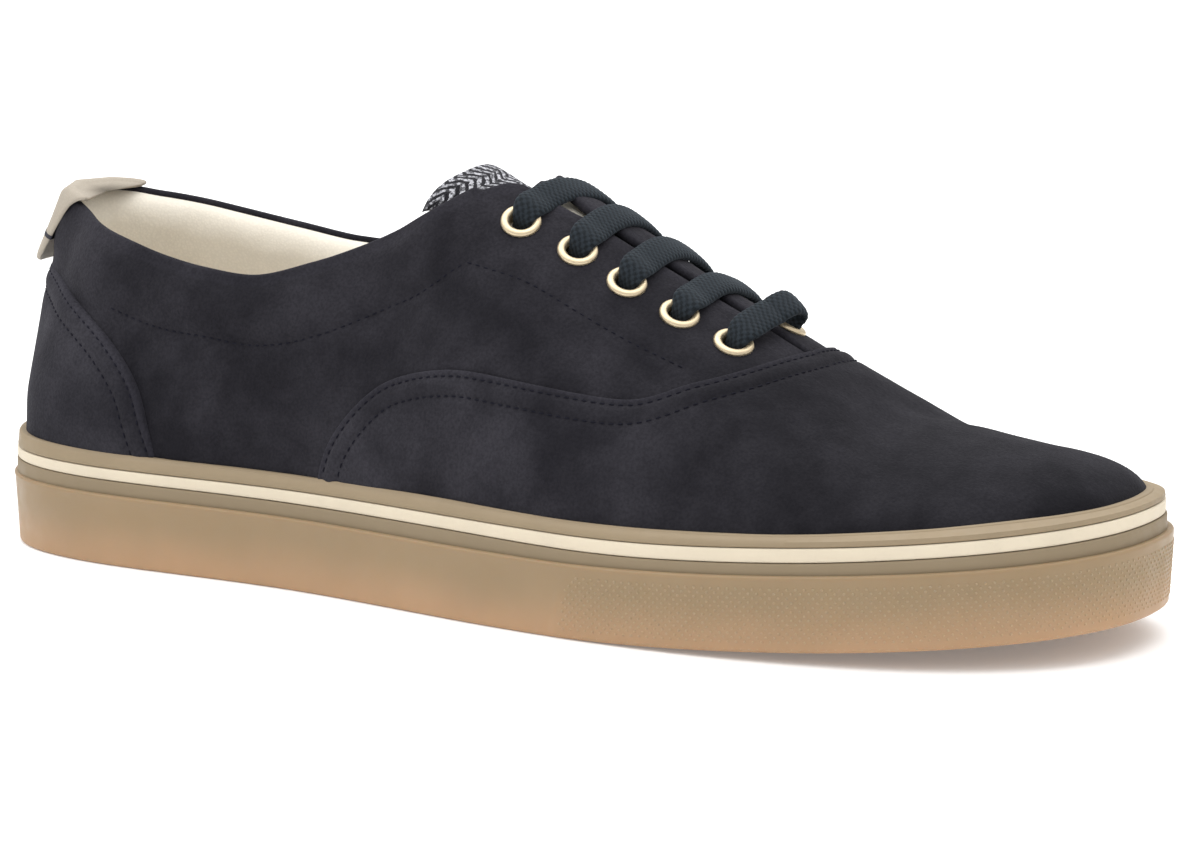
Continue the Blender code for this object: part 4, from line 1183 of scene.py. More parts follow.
@dataclass(frozen=True)
class Braid(Finish):
    """Cotton braid, with painted shade between its strands."""

    def paint(self, graph: Graph) -> None:
        """Paints shade between the strands by how far each stands out, with short loose fibres."""
        raised = graph.value("raised")
        # Painted shade: the grooves between strands are darkened to about a third.
        color = graph.mix(graph.span(raised, 0.15, 0.85, 0, 1), self.shade(0.35), self.color)
        fibres = graph.noise(0.22, 2)
        color = graph.tint(color, fibres, 0.5, 0.75, 0.5, self.shade(1.8))
        graph.dress(
            Base_Color=color,
            Roughness=0.92,
            Normal=graph.bump(fibres, 0.06),
            Specular_IOR_Level=0.2,
            Sheen_Weight=0.12,
            Sheen_Roughness=0.4,
            Sheen_Tint=(0.6, 0.7, 0.8),
        )


@dataclass(frozen=True)
class Metal(Finish):
    """Pale plated metal with faint rubbing marks."""

    def paint(self, graph: Graph) -> None:
        """Tarnishes in patches and scratches finely."""
        color = graph.tint(self.color, graph.noise(3, 3), 0.4, 0.7, 0.35, self.shade(0.72))
        graph.dress(
            Base_Color=color,
            Metallic=0.85,
            Roughness=graph.span(graph.noise(0.8, 3), 0.3, 0.7, 0.34, 0.46),
            Normal=graph.bump(graph.noise(0.6, 2), 0.006),
        )


@dataclass(frozen=True)
class Plain(Finish):
    """A bare surface, for the floor and for thread."""

    roughness: float = 0.9
    glow: float = 0.0

    def paint(self, graph: Graph) -> None:
        """One colour, a little uneven."""
        color = graph.tint(self.color, graph.noise(2, 2), 0.3, 0.7, 0.3, self.shade(0.85))
        graph.dress(Base_Color=color, Roughness=self.roughness, Specular_IOR_Level=0.1)
        graph.dress(Emission_Color=self.color, Emission_Strength=self.glow)


NUBUCK = Nubuck("navy_nubuck_look", "navy_nubuck", (0.0110, 0.0105, 0.0136))
VAMP_NUBUCK = replace(
    NUBUCK,
    name="navy_nubuck_vamp_look",
    color=(0.0128, 0.0122, 0.0158),
    light=(0.0325, 0.0310, 0.0377),
    toe_painted_shade=0.60,
)
HEEL_NUBUCK = replace(
    NUBUCK, name="navy_nubuck_heel_look", color=(0.0140, 0.0134, 0.0172), light=(0.0360, 0.0345, 0.0415)
)
GUM = Gum("gum_rubber_look", "gum_rubber", (0.281, 0.197, 0.109))
TAUPE = Rubber("taupe_rubber_look", "taupe_rubber", (0.275, 0.212, 0.133))
CREAM = Rubber("cream_rubber_look", "cream_rubber", (0.65, 0.57, 0.44))
LINING = Leather("cream_lining_look", "footbed_leather", (0.88, 0.82, 0.71))
FOOTBED = Leather("footbed_look", "footbed_leather", (0.66, 0.60, 0.50), grain=0.9)
TAB_LEATHER = Leather("heel_tab_look", "heel_tab_leather", (0.37, 0.325, 0.265), grain=0.5, roughness=0.65)
TWEED = Tweed("tongue_tweed_look", "tongue_tweed", (0.010, 0.010, 0.013))
LABEL = Leather("tongue_patch_look", "footbed_leather", (0.62, 0.58, 0.50), grain=0.5)
BRASS = Metal("eyelet_metal_look", "eyelet_metal", (0.63, 0.52, 0.35))
LACE = Braid("lace_cotton_look", "lace_cotton", (0.0165, 0.022, 0.028))
THREAD = Plain("navy_thread_look", "navy_nubuck", (0.008, 0.008, 0.014), 0.75)
TAB_BAND = Plain("tab_band_look", "navy_nubuck", (0.045, 0.045, 0.055), 0.8)
FLOOR = Plain("floor_look", "", (0.93, 0.93, 0.93), 0.85, 0.16)


# ---- Lines of the upper ----
class Eyelet(NamedTuple):
    """An eyelet's middle, seen from above."""

    x: float
    y: float


EYELETS = rows_of(
    Eyelet,
    (-1.1, -16.9), (13.2, -15.5), (26.1, -15.3), (39.3, -14.2), (52.6, -12.8), (3.2, 21.8),
    (13.4, 22.4), (25.4, 22.4), (39, 21.2), (54.6, 9.6),
)
PAIRS = len(EYELETS) // 2


def rolled(rim: Array, up: Array, radius: float, sweep: float, rows: int) -> tuple[Array, Array]:
    """The round of an edge, turned over from the face to its free side.

    Args:
        rim: The face's last points, in an order with the free side on the left.
        up: The face's normals there.
        radius: Radius of the round.
        sweep: Angle that it turns through.
        rows: Number of its rows, the rim with them.

    Returns:
        The rows after the rim, and the directions out past the edge.
    """
    ahead = np.gradient(rim, axis=0)
    out = unit(np.cross(up, unit(ahead - dot(ahead, up) * up)))[:, None]
    up = up[:, None]
    turn = np.linspace(0, sweep, rows)[None, 1:, None]
    return rim[:, None] - radius * up + radius * (np.cos(turn) * up + np.sin(turn) * out), out


class Pattern:
    """The upper's lines, found once on the last and shared by its pieces."""

    hidden_z: float = 24.0
    front_x: float = 64.4
    edge_points: int = 2800
    round_reach: int = 24
    corner_round: float = 4.5
    wing_share: float = 0.985
    wing_points: int = 26

    def __init__(self) -> None:
        """Finds every line on the last."""
        self.tip = LAST.tip()
        self.ends = [LAST.u_where_crown(LAST.throat_end, side) for side in Side]
        self.edge = self.free_edge()
        joins = [LAST.u_where_crown(self.front_x, side) for side in Side]
        self.wings = [
            self.wing(WING, Side.LATERAL, joins[0], -1),
            self.wing(WING_MEDIAL, Side.MEDIAL, joins[1], 1),
        ]
        self.joins = [LAST.u_where_crown(self.front_x + 0.7, side) for side in Side]
        self.counter = self.whole_counter()
        self.collar_rows = [Path.of_seam(COLLAR_STITCH, side) for side in Side]
        mirrored = tuple(SeamPoint(row.x + 1.5, -row.y, None) for row in EYESTAY_STITCH)
        self.eyestay_rows = [
            Path.of_seam(EYESTAY_STITCH, Side.LATERAL),
            Path.of_seam(mirrored, Side.MEDIAL),
        ]
        self.middle, self.outward, self.forward, self.sideways = self.eyelet_frames()

    def free_edge(self) -> Path:
        """The collar and the throat's two edges, from the medial front round the heel."""
        u = np.linspace(self.ends[1] - 1, self.ends[0], self.edge_points)
        reach = np.arange(-self.round_reach, self.round_reach + 1)
        weight = hump(reach, 0.0, self.corner_round)
        padded = np.pad(LAST.v_of_edge(u), self.round_reach, mode="edge")
        smooth = np.convolve(padded, weight / weight.sum(), mode="valid")
        return Path(u, smooth, -1)

    def wing(self, rows: Sequence[SeamPoint], side: Side, join: float, inward: int) -> Path:
        """The vamp's seam from the sole to the ridge."""
        rough = Path.of_seam(rows, side, inward)
        at = measure(LAST.point(rough.u, rough.v))
        picked = np.searchsorted(at, np.linspace(0, at[-1] * self.wing_share, self.wing_points))
        u = np.append(rough.u[picked], join)
        v = np.append(rough.v[picked], 1.0)
        return Path.through(u, v, 260, inward)

    def whole_counter(self) -> Path:
        """The heel counter's seam, from the medial sole over the heel to the lateral."""
        lateral, medial = (Path.of_seam(COUNTER, side) for side in Side)
        u = np.concatenate([medial.u[::-8] - 1, lateral.u[7::8]])
        v = np.concatenate([medial.v[::-8], lateral.v[7::8]])
        return Path.through(u, v, 420, -1)

    def eyelet_frames(self) -> tuple[Array, Array, Array, Array]:
        """Middle, outward, forward and sideways direction of each eyelet."""
        u, v = LAST.find(table(EYELETS, "x", "y"), View.ABOVE, FRONT)
        middle = LAST.point(u, v)
        outward = LAST.normal(u, v)
        gaps = np.concatenate([np.diff(middle[:PAIRS], axis=0), np.diff(middle[PAIRS:], axis=0)])
        first = gaps[[0, 0, 1, 2, 3, 4, 4, 5, 6, 7]]
        second = gaps[[0, 1, 2, 3, 3, 4, 5, 6, 7, 7]]
        forward = first + second
        forward = unit(forward - dot(forward, outward) * outward)
        return middle, outward, forward, np.cross(outward, forward)


# ---- Upper ----
class Trough(NamedTuple):
    """A soft crease from one point of the side view to another.

    side: which side of the foot. depth and width are those at its middle.
    """

    side: Side
    start: Two
    end: Two
    depth: float
    width: float


QUARTER_CREASES = (
    Trough(Side.LATERAL, (-102.0, 68.0), (-96.0, 50.0), 0.5, 5.0),
    Trough(Side.LATERAL, (-60.0, 52.0), (-48.0, 34.0), 0.45, 7.0),
    Trough(Side.LATERAL, (-24.0, 80.0), (-4.0, 62.0), 0.35, 6.0),
    Trough(Side.MEDIAL, (-98.0, 68.0), (-90.0, 48.0), 0.5, 5.0),
    Trough(Side.MEDIAL, (-56.0, 54.0), (-44.0, 36.0), 0.5, 7.0),
)

VAMP_CREASES = (
    Trough(Side.LATERAL, (34.0, 46.0), (58.0, 38.0), 0.35, 6.0),
    Trough(Side.LATERAL, (6.0, 44.0), (-6.0, 30.0), 0.35, 7.0),
    Trough(Side.MEDIAL, (40.0, 46.0), (62.0, 38.0), 0.4, 6.0),
)


def creased(points: Array, creases: Sequence[Trough]) -> Array:
    """Depth of soft creases at each point: bells across each, faded at its ends."""
    total = np.zeros(points.shape[:-1])
    for crease in creases:
        goal = np.array([crease.start, crease.end])
        u, v = LAST.find(goal, View.SIDE, crease.side.value)
        ends = LAST.point(u, v)
        share = np.linspace(0, 1, 9)[:, None]
        line = ends[0] + share * (ends[1] - ends[0])
        way = ends[1] - ends[0]
        place = (points - ends[0]) @ way / (way @ way)
        fade = ease(place, -0.35, 0.25) * (1 - ease(place, 0.75, 1.35))
        gap = near_line(points, line)
        total += crease.depth * hump(gap, 0.0, crease.width) * fade
    return total


@dataclass(frozen=True)
class Quarters:
    """The upper's two sides in one skin, rolled over at the collar and throat."""

    lateral_columns: int = 560
    medial_columns: int = 330
    rows: int = 64
    edge_radius: float = 1.1
    roll_rows: int = 9
    pad: float = 1.3
    row_depth: float = 0.35
    eyestay_depth: float = 0.28
    under_vamp: float = 1.3
    under_counter: float = 0.45
    hole: float = 3.85
    tuck: Triple = (1.5, 4.0, 8.0)

    def columns(self, pattern: Pattern) -> Array:
        """u of each column, closer together on the lateral side."""
        medial = np.linspace(pattern.ends[1] - 1, 0, self.medial_columns + 1)[:-1]
        return np.concatenate([medial, np.linspace(0, pattern.ends[0], self.lateral_columns)])

    def relief(self, pattern: Pattern, u: Array, v: Array, points: Array) -> Array:
        """How far the skin stands out: collar padding, stitch rows and creases.

        Args:
            pattern: The upper's lines.
            u, v: Places on the last.
            points: The last's points there.
        """
        x = points[..., 0]
        u = np.mod(u, 1.0)
        edge_gap = pattern.edge.gap(points, 8)
        row_gap = np.minimum(*(path.gap(points) for path in pattern.collar_rows))
        over = np.maximum(points[..., 2] - looked_up(COLLAR_STITCH, x, "z"), 0)
        swell = 4 * edge_gap * over / np.maximum(edge_gap + over, 1e-6) ** 2
        result = self.pad * np.clip(swell, 0, 1) ** 0.75 * (1 - ease(x, -34, -8))
        result -= self.row_depth * hump(row_gap, 0.0, 0.9) * ease(x, -112, -104)
        for path in pattern.eyestay_rows:
            result -= self.eyestay_depth * hump(path.gap(points), 0.0, 0.8)
        result += 0.30 * ripple(points, 34, 3) + 0.10 * ripple(points, 11, 5)
        result -= creased(points, QUARTER_CREASES)
        result -= self.under_counter * hump(pattern.counter.gap(points), 1.6, 2.4)
        for path in pattern.wings:
            side = (u > 0.5) == (path.u[0] > 0.5)
            ahead = u > path.u.min() if path.u[0] < 0.5 else u < path.u.max()
            under = (v < path.v_by_u(u)) & side & ahead
            result -= np.where(under, self.under_vamp * ease(path.gap(points), 1.0, 7.0), 0)
        middle_gap = np.linalg.norm(points[..., None, :] - pattern.middle, axis=-1).min(-1)
        return result * ease(middle_gap, 3.0, 9.0) * ease(edge_gap, 0.0, 6.0)

    def build(self, pattern: Pattern) -> bpy.types.Object:
        """The skin, its rolled edge, and the eyelets' holes."""
        u = self.columns(pattern)
        top = pattern.edge.inset(self.edge_radius).v_by_u(u)
        v, points, normal = face_between(u, LAST.v_at(u, pattern.hidden_z), top, self.rows)
        wide_u = np.broadcast_to(u[:, None], v.shape)
        outer = points + self.relief(pattern, wide_u, v, points)[..., None] * normal
        roll, out = rolled(outer[:, -1], normal[:, -1], self.edge_radius, PI, self.roll_rows)
        inside = roll[:, -1:] - np.array(self.tuck)[None, :, None] * out
        grid = np.hstack([outer, roll, inside])
        # Lighter along the rolled collar and throat edge: wear, and a painted highlight.
        worn = np.zeros(grid.shape[:-1])
        worn[:, self.rows - 3 : self.rows + 4] = 0.35
        shape = Shape()
        shape.cover(shape.add(grid, worn=worn))
        shape.pierce(pattern.middle, pattern.outward, self.hole, 6.0)
        return shape.piece("quarters", NUBUCK, ("upper",))


@dataclass(frozen=True)
class Overlay:
    """Leather laid over the quarters, with two stitch rows along its cut edge."""

    rows: int = 90
    edge_radius: float = 0.5
    edge_rows: int = 5
    skirt: float = 1.2
    stitch_rows: Two = (1.5, 6.1)
    troughs: Two = (0.30, 0.30)
    welt: float = 0.30

    def quilting(self, gap: Array) -> Array:
        """Troughs at the two rows and the swelling between them, by distance from the edge."""
        first, second = self.stitch_rows
        swell = self.welt * hump(gap, (first + second) / 2, 1.7)
        return swell - self.troughs[0] * hump(gap, first, 0.7) - self.troughs[1] * hump(gap, second, 0.8)

    def edge(self, rim: Array, up: Array) -> Array:
        """Rows of the rolled cut edge and of the skirt under it, past a rim with these normals."""
        roll, _ = rolled(rim, up, self.edge_radius, PI / 2, self.edge_rows)
        return np.hstack([roll, roll[:, -1:] - self.skirt * up[:, None]])


@dataclass(frozen=True)
class Vamp(Overlay):
    """The front of the upper, laid over the quarters and stitched twice."""

    side_columns: int = 200
    far_columns: int = 110
    toe_columns: int = 130
    thick: float = 1.0
    toe_thick: float = 0.25

    def height(self, pattern: Pattern, points: Array) -> Array:
        """The outer face's distance from the last, with troughs at the stitch rows."""
        gap = np.minimum(*(path.gap(points, 3) for path in pattern.wings))
        result = self.thick - (self.thick - self.toe_thick) * ease(gap, 9.0, 40.0) + self.quilting(gap)
        far = ease(gap, 6.0, 16.0)
        result += far * (0.22 * ripple(points, 30, 11) + 0.08 * ripple(points, 9, 12))
        return result - far * creased(points, VAMP_CREASES)

    def columns(self, pattern: Pattern) -> tuple[Array, Array]:
        """u of each column from the lateral wing round the toe, and which are free on top.

        The toe's columns come in pairs that meet on the ridge.
        """
        near, far = (path.u[0] for path in pattern.wings)
        lateral = np.linspace(near, pattern.joins[0], self.side_columns)
        toe = np.linspace(pattern.joins[0], pattern.tip, self.toe_columns + 1)[1:]
        crowns = LAST.crown(toe[:-1])
        start = np.full(crowns.shape, pattern.tip)
        twins = bisect(start, start * 0 + 0.8, lambda u: LAST.crown(u) < crowns)[::-1]
        medial = np.linspace(pattern.joins[1], far, self.far_columns)
        u = np.concatenate([lateral, toe, twins, medial])
        free = np.ones(len(u), bool)
        free[len(lateral) : -len(medial)] = False
        return u, free

    def build(self, pattern: Pattern) -> bpy.types.Object:
        """The skin from the sole to the seam and the ridge, and its cut edge."""
        u, free = self.columns(pattern)
        low = LAST.v_at(u, pattern.hidden_z)
        near, far = (path.inset(self.edge_radius) for path in pattern.wings)
        top = np.where(u < pattern.tip, near.v_by_u(u), far.v_by_u(u))
        top = np.where(free, np.clip(top, low + 1e-4, 1.0), 1.0)
        first = self.side_columns - 1
        last = len(u) - self.far_columns
        top[[first, last]] = 1.0
        _, points, normal = face_between(u, low, top, self.rows)
        ridge = slice(first, last + 1)
        normal[ridge, -1] = LAST.ridge_normal(points[ridge, -1, 0])
        outer = points + self.height(pattern, points)[..., None] * normal
        shape = Shape()
        # The edge value lightens the nubuck next to the seam and on the rolled cut edge: wear, and a painted
        # highlight.
        gap = np.minimum(*(path.gap(points, 3) for path in pattern.wings))
        numbers = shape.add(outer, worn=0.8 * hump(gap, 0.3, 1.0))
        pairs = np.arange(self.toe_columns)
        numbers[last - pairs, -1] = numbers[first + pairs, -1]
        shape.cover(numbers)
        open_columns = np.concatenate([np.arange(first + 1), np.arange(last + 1, len(u))])
        more = shape.add(self.edge(outer[open_columns, -1], normal[open_columns, -1]), worn=0.5)
        shape.cover(np.hstack([numbers[open_columns, -1][:, None], more]))
        return shape.piece("vamp", VAMP_NUBUCK)


@dataclass(frozen=True)
class Counter(Overlay):
    """The padded patch over the heel."""

    columns: int = 300
    rows: int = 60
    edge_radius: float = 1.15
    skirt: float = 1.4
    stitch_rows: Two = (1.6, 6.2)
    troughs: Two = (0.30, 0.28)
    welt: float = 0.32
    edge_height: float = 1.6
    full_height: float = 2.1
    sunk: float = 1.1
    sunk_z: Two = (26.0, 38.0)

    def height(self, pattern: Pattern, points: Array) -> Array:
        """The outer face's distance from the last, swelling inside its two rows."""
        gap = pattern.counter.gap(points, 3)
        result = self.edge_height + (self.full_height - self.edge_height) * ease(gap, 0.5, 11.0)
        result += self.quilting(gap)
        result -= self.sunk * (1 - ease(points[..., 2], *self.sunk_z))
        return result + 0.15 * ripple(points, 24, 21) * ease(gap, 6, 14)

    def build(self, pattern: Pattern) -> bpy.types.Object:
        """The patch's skin and its rolled edge."""
        seam = pattern.counter
        inner = seam.inset(self.edge_radius)
        u = np.linspace(seam.u[0], seam.u[-1], 4 * self.columns)
        u = u[inner.v_by_u(u) > LAST.v_at(u, pattern.hidden_z)]
        u = np.linspace(u[0], u[-1], self.columns)
        low = LAST.v_at(u, pattern.hidden_z)
        top = np.maximum(inner.v_by_u(u), low + 1e-4)
        _, points, normal = face_between(u, low, top, self.rows)
        outer = points + self.height(pattern, points)[..., None] * normal
        grid = np.hstack([outer, self.edge(outer[:, -1], normal[:, -1])])
        # A little lighter all over and much lighter on the rolled edge: wear, and a painted highlight.
        worn = np.full(grid.shape[:-1], 0.12)
        worn[:, self.rows - 2 :] += 0.6
        shape = Shape()
        shape.cover(shape.add(grid, worn=worn))
        return shape.piece("heel_counter_patch", HEEL_NUBUCK, ("heel_counter",))


@dataclass(frozen=True)
class CollarLining:
    """The padded lining, from the collar's rim down to the footbed."""

    columns: int = 420
    round_rows: int = 14
    wall_rows: int = 26
    back_rows: int = 5
    full: float = 6.4
    thin: float = 2.9
    fall: float = 8.0
    rim_depth: float = 0.85
    bare_depth: float = 2.4
    reach: float = 0.30
    pad_x: Two = (-40.0, -20.0)
    bottom_z: float = 12.5

    def build(self, pattern: Pattern) -> bpy.types.Object:
        """A closed pad: a round top, the inner wall, and the back against the upper."""
        u = np.linspace(-self.reach, self.reach, self.columns)
        rim = pattern.edge.inset(Quarters.edge_radius).v_by_u(u)
        below = pattern.edge.inset(Quarters.edge_radius + self.fall).v_by_u(u)
        x = LAST.point(u, rim)[:, 0]
        padded = (1 - ease(x, *self.pad_x))[:, None]
        full = self.thin + (self.full - self.thin) * padded
        start = self.bare_depth + (self.rim_depth - self.bare_depth) * padded
        lift = -1.0 + (1.0 + 0.25 * Quarters.edge_radius) * padded
        turn = np.linspace(0, PI / 2, self.round_rows)[None]
        depth = start + (full - start) * np.sin(turn)
        drop = self.fall - (self.fall + lift) * np.cos(turn)
        v_round = rim[:, None] + (below - rim)[:, None] * drop / self.fall
        low = LAST.v_at(u, self.bottom_z)[:, None]
        share = np.linspace(0, 1, self.wall_rows)[None, 1:]
        v_wall = below[:, None] + (low - below[:, None]) * share
        thinner = full - (full - self.thin - 0.5) * ease(share, 0.15, 0.75)
        wall_depth = np.broadcast_to(thinner, v_wall.shape)
        back = np.linspace(1, 0, self.back_rows)[None]
        v_back = v_round[:, :1] + (low - v_round[:, :1]) * back
        v = np.hstack([v_round, v_wall, v_back[:, :-1]])
        back_depth = np.broadcast_to(start + 0.2, v_back[:, :-1].shape)
        depth = np.hstack([depth, wall_depth, back_depth])
        wide_u = np.broadcast_to(u[:, None], v.shape)
        points = LAST.point(wide_u, v)
        inner_rows = self.round_rows + self.wall_rows - 1
        soft = 0.28 * ripple(points, 22, 31) + 0.10 * ripple(points, 8, 32)
        soft[:, inner_rows:] = 0
        soft *= ease(np.arange(v.shape[1]), 2, 12)
        grid = points - (depth + soft)[..., None] * LAST.normal(wide_u, v)
        shape = Shape()
        shape.tube(grid, shade=0.0)
        made = shape.piece("collar_lining", LINING)
        return made


def ruled(near: Array, far: Array, rows: int, ends: Two) -> tuple[Array, Array]:
    """Straight lines from each near point to its far one.

    Args:
        near: Points of one side.
        far: Their twins on the other side.
        rows: Number of points on each line.
        ends: Least and greatest x of the outline.

    Returns:
        The points, and each one's distance to the nearest side or end.
    """
    share = np.linspace(0, 1, rows)[None, :, None]
    grid = near[:, None] + share * (far - near)[:, None]
    width = np.linalg.norm(far - near, axis=-1)[:, None]
    gap = np.minimum(share[..., 0], 1 - share[..., 0]) * width
    return grid, np.minimum(gap, np.minimum(grid[..., 0] - ends[0], ends[1] - grid[..., 0]))


@dataclass(frozen=True)
class Footbed:
    """The cushioned sock inside the shoe."""

    columns: int = 180
    rows: int = 40
    top_z: float = 14.0
    bottom_z: float = 10.1
    clear: float = 3.2
    lip: float = 2.2
    lip_width: float = 13.0
    uneven: float = 0.2

    def build(self, pattern: Pattern) -> bpy.types.Object:
        """A slab that rises to its edge all round."""
        share = np.linspace(0, 1, self.columns + 1)[1:-1]
        u = np.stack([share * pattern.tip, 1 - share * (1 - pattern.tip)])
        sides = LAST.point(u, LAST.v_at(u, self.top_z)) - self.clear * LAST.outward(u)
        grid, gap = ruled(*sides, self.rows, (sides[..., 0].min(), sides[..., 0].max()))
        rise = self.lip * (1 - ease(gap, 0, self.lip_width))
        grid[..., 2] = LAST.spring(grid[..., 0]) + self.top_z + rise
        grid[..., 2] += self.uneven * ripple(grid, 25, 41)
        under = grid.copy()
        under[..., 2] = LAST.spring(grid[..., 0]) + self.bottom_z
        shape = Shape()
        top = shape.add(grid, shade=0.0)
        low = shape.add(under)
        shape.cover(top, turned=True)
        shape.cover(low)
        border = [np.concatenate([n[:, 0], n[-1, 1:-1], n[::-1, -1], n[0, -2:0:-1]]) for n in (top, low)]
        shape.cover(np.stack(border, 1), ring_rows=True, turned=True)
        return shape.piece("footbed", FOOTBED, ("insole",))


class TabPoint(NamedTuple):
    """A point of the heel tab's middle line, from the collar's edge."""

    out: float
    up: float
    half: float


TAB = rows_of(
    TabPoint,
    (-2.3, -0.2, 11.6), (-1.7, 0.2, 12.1), (-0.7, 0.6, 12.5), (0.4, 0.45, 12.4), (1.3, -0.4, 11.9),
    (2.1, -2.4, 10.8), (3.6, -6, 9.9), (5.8, -10.8, 9.2), (8, -15.6, 8.4), (9.2, -18.6, 7.5),
)


@dataclass(frozen=True)
class HeelTab:
    """The leather strip folded over the collar's back, with a band near its end."""

    thick: float = 0.85
    rows: int = 80
    around: int = 44
    square: Two = (0.22, 0.55)
    end_round: float = 5.0
    end_narrow: float = 3.5
    end_thin: float = 0.45
    levelled: float = 0.35
    reach: float = 0.09
    band: Two = (0.635, 0.675)
    band_proud: float = 0.12

    def frames(self, pattern: Pattern, side: Array) -> tuple[Array, Array]:
        """The collar's edge at these side offsets from the heel's middle, and outward."""
        near = np.linspace(-self.reach, self.reach, 361)
        top = pattern.edge.v_by_u(near)
        u = np.interp(side, -LAST.point(near, top)[:, 1], near)
        return LAST.point(u, np.interp(u, near, top)), LAST.outward(u)

    def strip(self, pattern: Pattern, low: float, high: float, rows: int, proud: float) -> Array:
        """Rounded sections of the strip.

        Args:
            pattern: The upper's lines.
            low, high: Shares of the strip's length to start and end at.
            rows: Number of sections.
            proud: How much wider and thicker than the strip itself.
        """
        line = table(TAB, "out", "up", "half")
        at = measure(line[:, :2])
        where = np.linspace(low, high, rows) * at[-1]
        smooth = along(at, line, even_slopes(at, line), where)
        ahead = unit(np.gradient(smooth[:, :2], axis=0))
        side = np.stack([ahead[:, 1], -ahead[:, 0]], -1)
        left = np.clip((where - at[-1] + self.end_round) / self.end_round, 0, 1)
        turn = np.arange(self.around) * 2 * PI / self.around
        wide = powered(np.cos(turn), self.square[0])
        tall = powered(np.sin(turn), self.square[1])
        half = smooth[:, 2] - self.end_narrow * (1 - dome(left)) + proud
        thick = (self.thick + proud) * (self.end_thin + (1 - self.end_thin) * dome(left, 6))
        edge, outward = self.frames(pattern, half[:, None] * wide)
        middle, _ = self.frames(pattern, np.zeros(1))
        edge[..., 2] += self.levelled * (middle[0, 2] - edge[..., 2])
        path = smooth[:, None, :2] + (thick[:, None] * tall)[..., None] * side[:, None]
        grid = edge + path[..., :1] * outward
        grid[..., 2] += path[..., 1]
        return grid

    def solid(self, grid: Array, name: str, finish: Finish, nodes: Sequence[str]) -> None:
        """The sections as one closed piece."""
        shape = Shape()
        shape.tube(grid, turned=True, shade=0.0)
        shape.piece(name, finish, nodes, 50)

    def build(self, pattern: Pattern) -> None:
        """The strip and its band."""
        self.solid(self.strip(pattern, 0, 1, self.rows, 0.0), "heel_tab_strip", TAB_LEATHER, ("heel_tab",))
        self.solid(self.strip(pattern, *self.band, 8, self.band_proud), "heel_tab_band", TAB_BAND, ())


# ---- Tongue ----
class Sunk(NamedTuple):
    """How far the tongue's face lies straight below the last at x."""

    x: float
    middle: float
    side: float


SUNK = rows_of(
    Sunk,
    (-28, 8, 3.4), (-22, 6.3, 4.4), (-14, 6.3, 5.4), (-6, 5.9, 5.4), (4, 4.4, 4.8), (58, 4.4, 4.7),
    (67, 2.4, 2.6),
)


